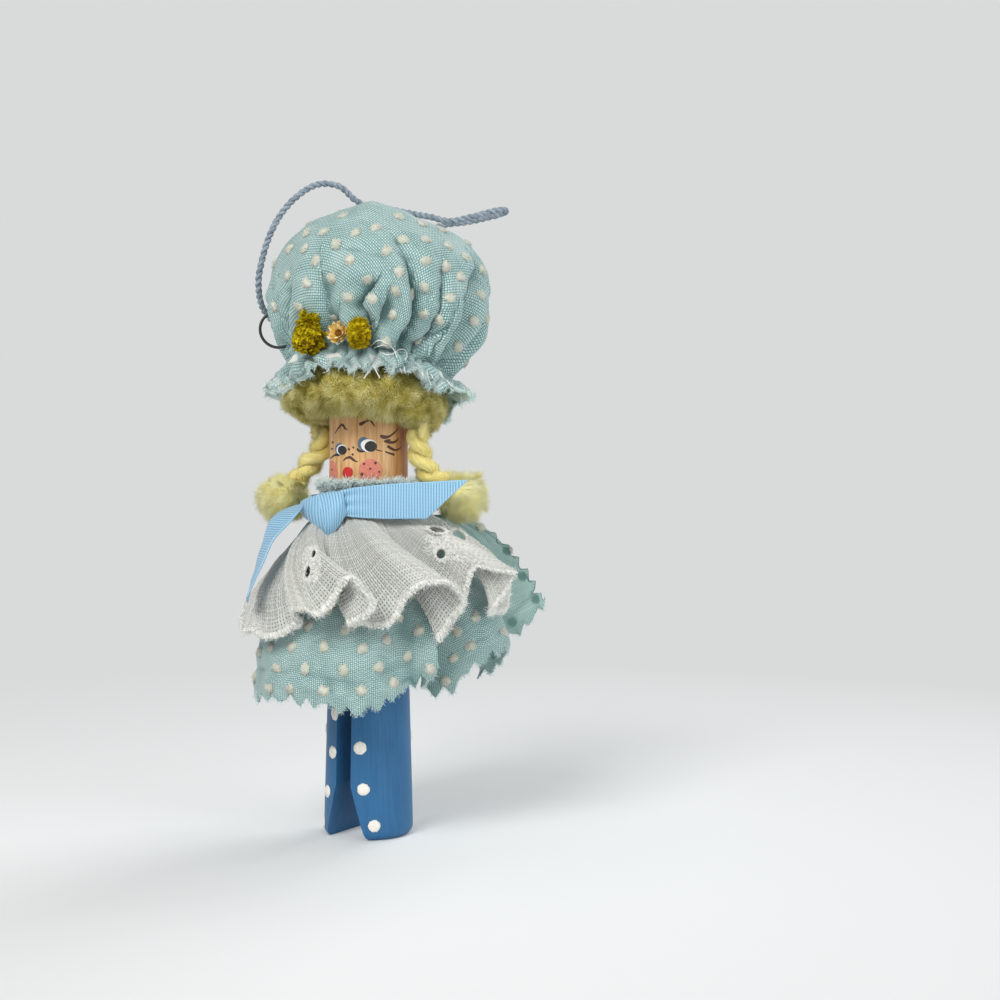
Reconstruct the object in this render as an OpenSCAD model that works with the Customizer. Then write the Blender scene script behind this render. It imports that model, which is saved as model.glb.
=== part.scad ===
// A clothespin doll that hangs as an ornament: a round wooden clothespin with a painted face and
// painted legs, a gathered skirt and lace apron tied on with a ribbon, yarn hair with two braids,
// a stuffed mob cap with dried flowers, and a loop of cord.
// The doll faces -Y and stands on its two legs at Z = 0, with the slot's middle at the origin.

/* [Clothespin] */
// Height of the wooden clothespin
peg_height = 95; // [85:1:105]
// Diameter of the straight body that carries the face
body_dia = 13.3; // [12:0.1:13.6]
// Diameter across both legs at the feet
foot_dia = 15; // [14:0.1:17]
// Radius of the rounded edge under the feet
foot_edge = 1.3; // [0.5:0.1:1.8]
// Height at which the legs begin to widen
leg_height = 35; // [25:1:45]
// Width of the slot between the legs
slot_width = 3; // [2:0.1:4]
// Height of the slot's round end
slot_height = 52; // [45:1:56]
// Width of the slot's flared mouth
mouth_width = 8; // [5:0.1:9]
// Height of the flared mouth
mouth_height = 9; // [5:0.5:15]
// Diameter of the turned neck
neck_dia = 9.6; // [8:0.1:11]
// Length of the turned neck
neck_length = 8; // [6:0.5:10]
// Diameter of the knob
knob_dia = 14; // [12:0.1:14.6]
// Height of the knob
knob_height = 11; // [9:0.5:12]

/* [Hair] */
// Thickness of the hair roll round the head
hair_thick = 9.2; // [7:0.1:9.6]
// Diameter of the circle that the roll's middle follows
hair_ring = 19.2; // [18:0.1:19.6]
// Drop of the roll's middle below the cap's gathered line
hair_drop = 6; // [5.5:0.1:8]
// Thickness of a braid
braid_thick = 3.6; // [2.4:0.1:3.8]
// Diameter of the tuft at a braid's end
tuft_dia = 9.6; // [7:0.1:9.8]

/* [Cap] */
// Largest radius of the cap's crown
crown_radius = 19; // [17.5:0.1:22]
// Height of the crown's widest line above the gathered line
crown_belly = 13; // [11:0.5:15]
// Height of the crown above its widest line
crown_rise = 15; // [12:0.5:18]
// Radius of the gathered line
gather_radius = 12.7; // [12.7:0.1:13.4]
// Depth of the gathers above that line
gather_depth = 1.3; // [0.5:0.1:1.6]
// Depth of the ruffle under the gathered line
ruffle_drop = 5.5; // [4:0.1:7]
// How far the ruffle stands out
ruffle_flare = 3.8; // [3.4:0.1:6]
// Thickness of the cap's cloth with its dots
cap_cloth = 0.8; // [0.4:0.05:0.9]
// Backward tilt of the cap
cap_tilt = 12; // [0:1:14]

/* [Dress] */
// Usual radius of the skirt's hem
skirt_radius = 20; // [19:0.5:24]
// Drop of the hem below the gathered neck
skirt_drop = 35; // [30:0.5:38]
// Thickness of the dress's cloth with its dots
dress_cloth = 0.8; // [0.4:0.05:0.9]
// Height of the frill above the gathered neck
frill_height = 2; // [1.5:0.1:3.8]
// Depth of the zigzag cut at the hem
pinking_depth = 1.6; // [0.5:0.1:2.5]
// Usual radius of the apron's hem
apron_radius = 23; // [22.5:0.5:26]
// Usual drop of the apron's hem below the gathered neck
apron_drop = 19; // [17:0.5:21]
// Thickness of the apron's lace
lace_cloth = 0.5; // [0.3:0.05:0.6]

/* [Ribbon] */
// Width of the ribbon
ribbon_width = 6.4; // [5:0.1:7]
// Height of the ribbon where it is drawn round the neck
band_height = 4.6; // [3.5:0.1:4.8]
// Thickness of the ribbon
ribbon_thick = 0.6; // [0.3:0.05:0.8]
// Length of the straight tail beyond its turn
right_tail = 16; // [10:0.5:16.5]
// Height that the hanging tail falls through
left_tail_fall = 17; // [12:0.5:18]

/* [Trimmings] */
// Diameter of the large dried flower
large_flower = 4.6; // [3:0.1:5]
// Diameter of the cup-shaped dried flower
cup_flower = 3; // [2:0.1:3.4]
// Diameter of the small dried flower
small_flower = 3.4; // [2:0.1:3.8]
// Radius of the wire loop's bend
wire_bend = 3.1; // [2.6:0.1:3.4]
// Diameter of the wire
wire_dia = 0.5; // [0.3:0.05:0.8]
// Diameter of the hanging cord
cord_dia = 1.2; // [0.8:0.05:1.4]

/* [Hidden] */
$fn = 64;

// Running clearance between soft pieces and what they lie on
gap = 0.3;
// Overrun of the cuts
cut = 1;

// Clothespin
body_r = body_dia / 2;
foot_r = foot_dia / 2;
neck_r = neck_dia / 2;
knob_r = knob_dia / 2;
knob_z = peg_height - knob_height;
shoulder_z = knob_z - neck_length;
shoulder_slope = body_r - neck_r;

// The cap sits on the peg's upper end, and the hair, the braids and the dress hang from its height
cap_below_top = 16;
cap_z = peg_height - cap_below_top;
collar_drop = 21.5;
collar_z = cap_z - collar_drop;

// Hair
collar_wall = 0.4;
hair_collar_r = gather_radius - cap_cloth / 2 - collar_wall;
hair_collar_rise = 1.6;
hair_bore_r = body_r + gap;
tie_thick = 0.5;
tuft_gap = 0.25;

// Crown: an ellipse above and below its widest line, cut off at the gathered line
crown_under = crown_belly / sqrt(1 - pow(gather_radius / crown_radius, 2));
gather_angle = -acos(gather_radius / crown_radius);
crown_top_angle = 84;
gathers = 12;
cap_columns = gathers * 4;
crown_rows = 8;
ruffle_rows = 3;
ruffle_wave = 0.6;
thread_r = 0.25;
thread_stand = 0.6;
stuffing_inset = gather_depth + cap_cloth / 2 + gap;
stuffing_base = hair_collar_rise + collar_wall;
stuffing_steps = 14;

// Dress: cloth is drawn in at the collar, runs straight down to the waist and then swells out
collar_r = body_r + collar_wall + dress_cloth / 2;
collar_to_waist = 3.8;
waist_z = collar_z - collar_to_waist;
waist_swell = 0.5;
frill_flare = 1.3;
skirt_rows_share = [0, 0.2, 0.45, 0.72, 1];
skirt_curve = 2;
steps_per_fold = 4;

// Folds of the skirt along its hem: angle at the collar and at the hem, counted from the front
// towards the doll's left hand, then shares of the hem's usual radius and drop
skirt_fold_shares = [
    [-168, -164, 0.82, 0.97],
    [-150, -146, 0.96, 0.98],
    [-130, -128, 0.80, 0.99],
    [-108, -107, 0.98, 0.99],
    [-88, -88, 0.84, 1.00],
    [-62, -62, 0.97, 1.00],
    [-40, -40, 0.93, 0.98],
    [-15, -15, 1.00, 0.96],
    [10, 10, 0.95, 0.97],
    [33, 33, 1.00, 1.00],
    [47, 47, 0.93, 0.94],
    [60, 60, 0.90, 0.90],
    [74, 75, 0.86, 0.85],
    [84, 82, 0.80, 0.95],
    [93, 92, 0.84, 0.93],
    [103, 101, 1.00, 0.90],
    [113, 110, 1.13, 0.89],
    [122, 119, 1.26, 0.88],
    [132, 127, 1.30, 0.74],
    [143, 133, 1.45, 0.63],
    [155, 140, 1.58, 0.50],
    [168, 152, 1.42, 0.27]];

// Pleats of the apron along its hem, in the same way; where the angle runs back a pleat folds over
apron_fold_shares = [
    [-92, 0.83, 1.02],
    [-74, 0.92, 1.02],
    [-54, 0.93, 1.03],
    [-30, 0.95, 1.15],
    [-9, 0.92, 1.18],
    [3, 0.85, 1.08],
    [4, 0.97, 0.94],
    [17, 1.02, 0.97],
    [26, 1.07, 0.78],
    [31, 1.11, 0.66],
    [38, 1.09, 0.92],
    [28, 0.94, 1.06],
    [36, 0.93, 1.08],
    [45, 0.96, 1.04],
    [50, 1.00, 0.89],
    [54, 1.07, 0.74],
    [62, 1.10, 0.72],
    [74, 1.07, 0.88],
    [68, 0.91, 1.20],
    [78, 0.92, 1.02],
    [81, 1.02, 0.66],
    [86, 1.12, 0.62],
    [95, 1.19, 0.70],
    [93, 1.02, 1.00],
    [105, 1.03, 1.01],
    [112, 1.05, 0.88]];
apron_collar_span = 95;
apron_top = 0.6;
apron_rows_share = [0, 0.2, 0.45, 0.72, 1];
apron_curve = 1.25;
apron_stand = dress_cloth / 2 + 1.5 * gap + lace_cloth / 2;

// Ribbon
band_r = collar_r + waist_swell + apron_stand + lace_cloth / 2 + gap;
band_mid_r = band_r + ribbon_thick / 2;
band_mid_z = collar_z - band_height * 0.2;
knot_angle = -9;
knot_size = [6.4, 3, 6.6];
knot_sides = 16;
knot_rows = 8;
knot_square = 0.7;
tail_leave_angle = 24;
tail_rise = 1.4;
left_tail_start = 14;
left_tail_turn = 60;
left_tail_r = band_mid_r + knot_size.y / 2 - ribbon_thick;
left_tail_arch = 4.6;
tail_steps = 12;

// Trimmings, on the crease between the crown and the ruffle
petal_share = 0.36;
wire_face_angle = 36;
wire_from = 95;
wire_sweep = 215;
wire_inset = 2.3;
wire_back = 2;
wire_rise = 6.5;
wire_side = crown_radius * cos(asin((crown_belly - wire_rise) / crown_under)) - wire_inset;
knot_dia = 3;
knot_around = -145;
knot_up = 28;
cord_sides = 8;
cord_splits = 2;

// Route of the hanging cord, from the knot behind the cap, out to the right and back, over the
// cap to the left and round behind it to the knot again
CORD_ROUTE = [
    [-10.0, 19.3, 97.7], [-8.6, 19.0, 99.8], [-4.4, 17.4, 102.4], [-0.2, 17.0, 104.4],
    [3.5, 17.6, 105.6], [7.1, 20.0, 106.2], [10.7, 22.4, 107.2], [12.6, 22.8, 107.6],
    [14.2, 21.8, 107.7], [14.6, 19.9, 107.6], [13.6, 18.3, 107.2], [10.5, 15.6, 106.0],
    [7.5, 13.6, 105.3], [4.6, 12.4, 106.1], [0.8, 11.8, 107.0], [-2.8, 9.9, 107.8],
    [-5.3, 7.5, 108.1], [-6.9, 5.4, 109.1], [-8.5, 3.0, 111.2], [-10.9, 0.1, 111.3],
    [-13.1, -2.7, 109.1], [-15.1, -4.8, 105.8], [-16.3, -6.2, 102.3], [-17.3, -7.0, 98.4],
    [-18.6, -6.7, 93.9], [-20.2, -3.6, 89.9], [-20.7, 1.2, 87.6], [-20.1, 7.2, 87.2],
    [-18.7, 12.2, 88.7], [-16.4, 15.9, 91.3], [-13.7, 18.1, 93.9], [-11.3, 18.9, 95.6]];

// Direction of an angle counted from the front, -Y, towards +X
function around(a) = [sin(a), -cos(a), 0];
function unit(v) = v / norm(v);

// Smooth curve through the middle two of four values or rows of values
function through(a, b, c, d, t) =
    (2 * b + (c - a) * t + (2 * a - 5 * b + 4 * c - d) * t * t + (3 * b - a - 3 * c + d) * t * t * t) / 2;

// Row of a table at a place k that may lie between two rows
function row_at(table, k) =
    let (last = len(table) - 1, i = min(floor(k), last - 1))
    through(table[max(i - 1, 0)], table[i], table[i + 1], table[min(i + 2, last)], k - i);

// Outward direction of a grid of cloth points at one of them
function cloth_normal(grid, i, j, wrap) =
    let (n = len(grid), last = len(grid[0]) - 1,
        before = grid[wrap ? (i + n - 1) % n : max(i - 1, 0)][j],
        after = grid[wrap ? (i + 1) % n : min(i + 1, n - 1)][j],
        above = grid[i][max(j - 1, 0)],
        below = grid[i][min(j + 1, last)])
    unit(cross(after - before, above - below));

function two_triangles(a, b, c, d) = [[a, b, c], [a, c, d]];

// Closed cloth of a thickness round a grid of points: columns run round the doll, rows run down.
// With wrap it closes on itself, and a top point closes it above.
module cloth(grid, thick, wrap = false, top = undef) {
    n = len(grid);
    m = len(grid[0]);
    side = [for (i = [0:n - 1], j = [0:m - 1]) cloth_normal(grid, i, j, wrap) * thick / 2];
    flat = [for (i = [0:n - 1], j = [0:m - 1]) grid[i][j]];
    tips = top == undef ? [] : [top + [0, 0, thick / 2], top - [0, 0, thick / 2]];
    points = concat([for (k = [0:n * m - 1]) flat[k] + side[k]],
        [for (k = [0:n * m - 1]) flat[k] - side[k]], tips);
    inner = n * m;
    columns = wrap ? n - 1 : n - 2;
    faces = [
        for (i = [0:columns])
            let (a = i * m, b = ((i + 1) % n) * m)
            each concat(
                [for (j = [0:m - 2]) each two_triangles(a + j, b + j, b + j + 1, a + j + 1)],
                [for (j = [0:m - 2]) each two_triangles(inner + a + j, inner + a + j + 1,
                    inner + b + j + 1, inner + b + j)],
                two_triangles(a + m - 1, b + m - 1, inner + b + m - 1, inner + a + m - 1),
                top == undef ? two_triangles(a, inner + a, inner + b, b)
                    : [[2 * inner, b, a], [2 * inner + 1, inner + a, inner + b]]),
        for (j = [0:wrap ? -1 : m - 2])
            each concat(
                two_triangles(j, j + 1, inner + j + 1, inner + j),
                two_triangles((n - 1) * m + j, inner + (n - 1) * m + j,
                    inner + (n - 1) * m + j + 1, (n - 1) * m + j + 1))];
    polyhedron(points, faces, convexity = 10);
}

// Directions along a line of points, and one direction across it, carried from point to point
function headings(line) =
    let (last = len(line) - 1)
    [for (i = [0:last]) unit(line[min(i + 1, last)] - line[max(i - 1, 0)])];
function carried(along, normal, i = 0, done = []) =
    i == len(along) ? done
    : let (next = unit(normal - (normal * along[i]) * along[i]))
        carried(along, next, i + 1, concat(done, [next]));

// Round tube along a line of points, with a radius for each of them
module tube(line, radii, sides) {
    along = headings(line);
    across = carried(along, unit(cross(along[0], abs(along[0].z) < 0.9 ? [0, 0, 1] : [1, 0, 0])));
    last = len(line) - 1;
    points = [for (i = [0:last], s = [0:sides - 1])
        let (angle = 360 * s / sides)
        line[i] + radii[i] * (cos(angle) * across[i] + sin(angle) * cross(along[i], across[i]))];
    faces = concat(
        [for (i = [0:last - 1], s = [0:sides - 1])
            let (t = (s + 1) % sides)
            each two_triangles(i * sides + s, (i + 1) * sides + s, (i + 1) * sides + t, i * sides + t)],
        [for (s = [1:sides - 2]) [0, s, s + 1]],
        [for (s = [1:sides - 2]) [last * sides, last * sides + s + 1, last * sides + s]]);
    polyhedron(points, faces, convexity = 10);
}

// Flat strip along a line of points, with half its width as a vector at each of them
module strip(line, half_widths, thick) {
    along = headings(line);
    last = len(line) - 1;
    points = [for (i = [0:last])
        let (out = unit(cross(along[i], half_widths[i])) * thick / 2, half = half_widths[i])
        each [line[i] + half + out, line[i] + half - out, line[i] - half - out, line[i] - half + out]];
    faces = concat(
        [for (i = [0:last - 1], s = [0:3])
            let (t = (s + 1) % 4)
            each two_triangles(i * 4 + s, i * 4 + t, (i + 1) * 4 + t, (i + 1) * 4 + s)],
        two_triangles(3, 2, 1, 0),
        two_triangles(last * 4, last * 4 + 1, last * 4 + 2, last * 4 + 3));
    polyhedron(points, faces, convexity = 4);
}

// The cap's own frame, tilted back about its gathered line's middle
module in_cap() {
    translate([0, 0, cap_z])
        rotate([-cap_tilt, 0, 0])
            children();
}

// Crown's middle surface in the cap's frame: angle above the widest line, out and up
function crown_up(angle) = crown_belly + (angle < 0 ? crown_under : crown_rise) * sin(angle);
function crown_fold(a) = 0.5 + 0.5 * cos(gathers * a + 40 * sin(2 * a + 30));
function crown_fade(angle) =
    let (share = min((angle - gather_angle) / (60 - gather_angle), 1))
    pow(sin(180 * share), 0.8) * (1 - share) * 1.4;
function crown_point(a, angle) =
    around(a) * (crown_radius * cos(angle) - gather_depth * crown_fade(angle) * crown_fold(a))
    + [0, 0, crown_up(angle)];
function ruffle_point(a, share) =
    around(a) * (gather_radius + ruffle_flare * pow(share, 1.3)
        + ruffle_wave * share * cos(gathers * a + 40 * sin(2 * a + 30)))
    - [0, 0, ruffle_drop * share];
function cap_column(a) = concat(
    [for (k = [0:crown_rows])
        crown_point(a, crown_top_angle + (gather_angle - crown_top_angle) * k / crown_rows)],
    [for (k = [1:ruffle_rows]) ruffle_point(a, k / ruffle_rows)]);

// Skirt's middle surface: fold k, and a share of the way from the waist to the hem
function skirt_row(k) = row_at(skirt_fold_shares, k);
function skirt_point(k, share, tooth = 0) =
    let (fold = skirt_row(k),
        hem_r = fold[2] * skirt_radius,
        hem_z = collar_z - fold[3] * skirt_drop,
        bell = 1 - pow(1 - share, skirt_curve),
        waist_r = collar_r + waist_swell,
        angle = fold[0] + (fold[1] - fold[0]) * share)
    around(angle) * (waist_r + (hem_r - waist_r) * bell)
    + [0, 0, waist_z + (hem_z - waist_z) * share + tooth * share];
function skirt_column(k, tooth) = let (fold = skirt_row(k)) concat(
    [around(fold[0]) * (collar_r + frill_flare) + [0, 0, collar_z + frill_height + tooth / 2],
        around(fold[0]) * (collar_r + frill_flare / 3) + [0, 0, collar_z + frill_height / 2],
        around(fold[0]) * collar_r + [0, 0, collar_z]],
    [for (share = skirt_rows_share) skirt_point(k, share, tooth)]);

// Radius of the skirt at an angle and a height, which the apron keeps clear of; the fold there is
// found by halving the stretch of folds that holds the angle
function fold_at(angle, low = 0, high = len(skirt_fold_shares) - 1, halvings = 14) =
    let (middle = (low + high) / 2)
    halvings == 0 ? middle
    : skirt_row(middle)[0] < angle ? fold_at(angle, middle, high, halvings - 1)
    : fold_at(angle, low, middle, halvings - 1);
function skirt_radius_at(angle, z) =
    let (fold = skirt_row(fold_at(angle)),
        hem_z = collar_z - fold[3] * skirt_drop,
        share = max(0, min(1, (waist_z - z) / (waist_z - hem_z))),
        waist_r = collar_r + waist_swell,
        bell = 1 - pow(1 - share, skirt_curve),
        drawn = max(0, min(1, (z - waist_z) / collar_to_waist)))
    waist_r + (fold[2] * skirt_radius - waist_r) * bell - waist_swell * drawn;

// Apron's middle surface, in the same way, laid over the skirt
function apron_point(k, share) =
    let (last = len(apron_fold_shares) - 1,
        fold = row_at(apron_fold_shares, k),
        collar_angle = apron_collar_span * (2 * k / last - 1),
        hem_z = collar_z - fold[2] * apron_drop,
        z = waist_z + (hem_z - waist_z) * share,
        waist_r = collar_r + waist_swell + apron_stand,
        bell = 1 - pow(1 - share, apron_curve),
        angle = collar_angle + (fold[0] - collar_angle) * pow(share, 0.7),
        own = waist_r + (fold[1] * apron_radius - waist_r) * bell,
        clear = skirt_radius_at(angle, z) + apron_stand * (1 + 2 * share * (1 - share)))
    around(angle) * max(own, clear) + [0, 0, z];
function apron_column(k) =
    let (last = len(apron_fold_shares) - 1,
        collar_angle = apron_collar_span * (2 * k / last - 1),
        z = collar_z - apron_top)
    concat([around(collar_angle) * (skirt_radius_at(collar_angle, z) + apron_stand) + [0, 0, z]],
        [for (share = apron_rows_share) apron_point(k, share)]);

// Places on the crease under the crown, out by the clearance that a ball of radius r needs there
crease_open = 47.5;
crease_lean = -7.5;
function crease_place(a, r) =
    let (out = (r + gap) / sin(crease_open))
    around(a) * (gather_radius + cap_cloth / 2 + out * cos(crease_lean)) + [0, 0, out * sin(crease_lean)];

// Where the cord's knot sits: on the crown's outside, behind
knot_out = cap_cloth / 2 + gap / 3 + knot_dia / 2;
knot_normal = unit([cos(knot_up) / crown_radius, sin(knot_up) / crown_rise]);
knot_place = around(knot_around) * (crown_radius * cos(knot_up) + knot_out * knot_normal[0])
    + [0, 0, crown_up(knot_up) + knot_out * knot_normal[1]];

// Braids: root, bend and tuft of each, as shares of how far the roots lie to the side of the peg
// (to the doll's left and back) and of how far they lie below the cap's gathered line
root_side = hair_bore_r + braid_thick / 2 + gap;
root_drop = hair_drop + hair_thick / 2 + braid_thick / 2 + 2 * gap;
right_braid_shares = [[1, 0.07, 1], [1.2, 0.19, 1.37], [1.75, 0.5, 1.7]];
left_braid_shares = [[-1, -0.04, 1], [-1.36, -0.19, 1.34], [-1.76, -0.35, 1.72]];
function braid_places(shares) =
    [for (s = shares) [root_side * s[0], root_side * s[1], cap_z - root_drop * s[2]]];
right_braid = braid_places(right_braid_shares);
left_braid = braid_places(left_braid_shares);
braid_rings = 10;
braid_sides = 10;
braid_end_share = 0.75;
function braid_end(b) = b[2] + unit(b[1] - b[2]) * (tuft_dia / 2 + tuft_gap);
function bend_point(a, b, c, t) = (1 - t) * (1 - t) * a + 2 * t * (1 - t) * b + t * t * c;
function braid_line(b) =
    [for (k = [0:braid_rings]) bend_point(b[0], 0.2 * b[0] + 0.8 * b[1], braid_end(b), k / braid_rings)];

module clothespin() {
    color("burlywood")
        difference() {
            rotate_extrude()
                clothespin_outline();
            translate([-slot_width / 2, -foot_r - cut, -cut])
                cube([slot_width, foot_dia + 2 * cut, slot_height - slot_width / 2 + cut]);
            translate([0, 0, slot_height - slot_width / 2])
                rotate([90, 0, 0])
                    cylinder(d = slot_width, h = foot_dia + 2 * cut, center = true);
            rotate([90, 0, 0])
                linear_extrude(foot_dia + 2 * cut, center = true)
                    polygon([[-mouth_width / 2, -cut], [mouth_width / 2, -cut],
                        [mouth_width / 2, 0], [slot_width / 2, mouth_height],
                        [-slot_width / 2, mouth_height], [-mouth_width / 2, 0]]);
        }
}

module clothespin_outline() {
    polygon([[0, 0], [foot_r - foot_edge, 0], [foot_r - foot_edge, foot_edge], [foot_r, foot_edge],
        [foot_r, 2 * foot_edge], [body_r, leg_height], [body_r, shoulder_z],
        [neck_r, shoulder_z + shoulder_slope], [neck_r, knob_z + knob_height / 2],
        [0, knob_z + knob_height / 2]]);
    translate([foot_r - foot_edge, foot_edge])
        circle(foot_edge);
    translate([0, knob_z])
        square([knob_r - knob_height / 2, knob_height]);
    intersection() {
        translate([knob_r - knob_height / 2, knob_z + knob_height / 2])
            circle(knob_height / 2);
        square([knob_r, peg_height]);
    }
}

module hair_roll() {
    color("darkkhaki")
        difference() {
            in_cap()
                rotate_extrude() {
                    translate([hair_ring / 2, -hair_drop])
                        circle(d = hair_thick);
                    translate([0, -hair_drop])
                        square([hair_collar_r, hair_drop + hair_collar_rise]);
                }
            translate([0, 0, collar_z])
                cylinder(r = hair_bore_r, h = peg_height);
        }
}

module braid(b) {
    line = braid_line(b);
    root = unit(line[1] - line[0]);
    r = braid_thick / 2;
    domes = [80, 50, 25];
    tube(concat([for (a = domes) line[0] - root * r * sin(a)], line),
        concat([for (a = domes) r * cos(a)],
            [for (k = [0:braid_rings]) r * (1 + (braid_end_share - 1) * pow(k / braid_rings, 3))]),
        braid_sides);
}

module braid_left() {
    color("khaki")
        braid(left_braid);
}

module braid_right() {
    color("khaki")
        braid(right_braid);
}

// Thread tied round a braid just above its tuft
module braid_tie(b) {
    line = braid_line(b);
    here = line[braid_rings - 1];
    along = unit(line[braid_rings] - line[braid_rings - 2]);
    translate(here)
        rotate([0, acos(along.z), atan2(along.y, along.x)])
            rotate_extrude()
                translate([braid_thick / 2 + tie_thick / 2, 0])
                    circle(d = tie_thick, $fn = 24);
}

module braid_tie_left() {
    color("goldenrod")
        braid_tie(left_braid);
}

module braid_tie_right() {
    color("goldenrod")
        braid_tie(right_braid);
}

module tuft_left() {
    color("palegoldenrod")
        translate(left_braid[2])
            sphere(d = tuft_dia);
}

module tuft_right() {
    color("palegoldenrod")
        translate(right_braid[2])
            sphere(d = tuft_dia);
}

module mob_cap() {
    color("paleturquoise")
        in_cap()
            cloth([for (i = [0:cap_columns - 1]) cap_column(360 * i / cap_columns)], cap_cloth, wrap = true,
                top = [0, 0, crown_belly + crown_rise]);
}

// Loose filling of the crown, round the peg's knob
module cap_stuffing() {
    wide = crown_radius - stuffing_inset;
    function tall(angle) = (angle < 0 ? crown_under : crown_rise) - stuffing_inset;
    base_angle = asin((stuffing_base - crown_belly) / (crown_under - stuffing_inset));
    color("ivory")
        difference() {
            in_cap()
                rotate_extrude()
                    polygon(concat([[0, stuffing_base]],
                        [for (k = [0:stuffing_steps])
                            let (angle = base_angle + (90 - base_angle) * k / stuffing_steps)
                            [wide * cos(angle), crown_belly + tall(angle) * sin(angle)]]));
            translate([0, 0, collar_z])
                cylinder(r = knob_r + gap, h = peg_height + gap - collar_z);
        }
}

module cap_thread() {
    color("lightseagreen")
        in_cap()
            rotate_extrude()
                translate([gather_radius + cap_cloth / 2 + thread_stand, 0])
                    circle(thread_r, $fn = 24);
}

module dress() {
    last = len(skirt_fold_shares) - 1;
    columns = last * steps_per_fold;
    color("paleturquoise")
        cloth([for (i = [0:columns])
            skirt_column(i / steps_per_fold, i % 2 == 0 ? 0 : pinking_depth)], dress_cloth);
}

module apron() {
    last = len(apron_fold_shares) - 1;
    columns = last * 3;
    color("white")
        cloth([for (i = [0:columns]) apron_column(i / 3)], lace_cloth);
}

module neck_thread() {
    color("lightseagreen")
        translate([0, 0, collar_z])
            rotate_extrude()
                translate([collar_r + dress_cloth / 2 + gap / 3 + thread_r, 0])
                    circle(thread_r, $fn = 24);
}

// Ribbon drawn round the neck, its knot in front, a tail that stands out and a tail that hangs
module neck_ribbon() {
    color("skyblue") {
        translate([0, 0, band_mid_z - band_height / 2])
            difference() {
                cylinder(r = band_r + ribbon_thick, h = band_height);
                translate([0, 0, -cut])
                    cylinder(r = band_r, h = band_height + 2 * cut);
            }
        ribbon_knot();
        ribbon_right_tail();
        ribbon_left_tail();
    }
}

knot_centre = around(knot_angle) * (band_mid_r + knot_size.y / 2) + [0, 0, band_mid_z];
module ribbon_knot() {
    function rounded(v) = sign(v) * pow(abs(v), knot_square);
    ring = [for (i = [1:knot_rows - 1], s = [0:knot_sides - 1])
        let (up = -90 + 180 * i / knot_rows, turn = 360 * s / knot_sides)
        [knot_size.x / 2 * rounded(cos(up)) * rounded(cos(turn)),
            knot_size.y / 2 * rounded(cos(up)) * rounded(sin(turn)), knot_size.z / 2 * rounded(sin(up))]];
    count = len(ring);
    last = count - knot_sides;
    translate(knot_centre)
        rotate([0, 0, knot_angle])
            polyhedron(concat(ring, [[0, 0, -knot_size.z / 2], [0, 0, knot_size.z / 2]]), concat(
                [for (i = [0:knot_rows - 3], s = [0:knot_sides - 1])
                    let (a = i * knot_sides + s, b = i * knot_sides + (s + 1) % knot_sides)
                    each two_triangles(a, a + knot_sides, b + knot_sides, b)],
                [for (s = [0:knot_sides - 1]) [count, s, (s + 1) % knot_sides]],
                [for (s = [0:knot_sides - 1]) [count + 1, last + (s + 1) % knot_sides, last + s]]));
}

module ribbon_right_tail() {
    out = band_r + ribbon_thick + ribbon_thick / 2 + gap / 3;
    turn = tail_leave_angle - knot_angle;
    leave = around(tail_leave_angle) * out;
    ahead = [cos(tail_leave_angle), sin(tail_leave_angle), 0];
    straight = right_tail - ribbon_width / 2;
    arc = [for (k = [0:4]) around(knot_angle + turn * k / 4) * out];
    line = [for (p = concat(arc, [leave + ahead * straight / 2, leave + ahead * straight]))
        p + [0, 0, band_mid_z + tail_rise * norm([p.x, p.y] - [arc[0].x, arc[0].y]) / (straight + out)]];
    last = len(line) - 1;
    full = ribbon_width / 2;
    halves = [for (i = [0:last])
        let (wide = min(full, band_height / 2 + (full - band_height / 2) * i / (last - 2)))
        i == last ? [0, 0, wide] + ahead * wide : [0, 0, wide]];
    strip(line, halves, ribbon_thick);
}

module ribbon_left_tail() {
    start = knot_angle - left_tail_start;
    drawn_share = band_height / ribbon_width;
    line = [for (k = [0:tail_steps])
        let (share = k / tail_steps,
            angle = start - (left_tail_turn - left_tail_start) * pow(share, 0.7),
            z = band_mid_z - left_tail_fall * pow(share, 1.4))
        around(angle) * (left_tail_r + tail_out(z, share)) + [0, 0, z]];
    along = headings(line);
    halves = [for (k = [0:tail_steps])
        let (up = unit(cross(around(start - left_tail_turn * k / tail_steps), along[k])))
        -up * (ribbon_width / 2) * min(1, drawn_share + (1 - drawn_share) * k / 3)];
    strip(line, halves, ribbon_thick);
}

// How far the hanging tail stands out from its start, to clear the apron
function tail_out(z, share) =
    let (apron_slope = (apron_radius - collar_r) / (apron_drop - collar_to_waist),
        apron_r = collar_r + waist_swell + apron_stand + max(0, waist_z - z) * apron_slope)
    max(0, apron_r + 2 * gap + ribbon_thick - left_tail_r)
    + left_tail_arch * sin(180 * pow(share, 0.8));

// Dried flower head: a ball of petals round a middle one
module flower_head(a, dia, petals) {
    r = dia / 2;
    petal_r = dia * petal_share;
    in_cap()
        translate(crease_place(a, r))
            rotate([90, 0, a]) {
                sphere(petal_r);
                for (k = [0:petals - 1])
                    rotate([0, 0, 360 * k / petals])
                        translate([r - petal_r, 0, 0])
                            sphere(petal_r);
            }
}

module flower_left() {
    color("gold")
        flower_head(-3, large_flower, 6);
}

// Open cup of petals, seen into from the front
module flower_middle() {
    r = cup_flower / 2;
    cup_wall = cup_flower / 8;
    color("orange")
        in_cap()
            translate(crease_place(16, r))
                rotate([90, 0, 16])
                    difference() {
                        sphere(r);
                        translate([0, 0, r])
                            cylinder(r1 = r / 4, r2 = r - cup_wall, h = r, center = true);
                    }
}

module flower_right() {
    color("gold")
        flower_head(29.5, small_flower, 5);
}

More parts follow.
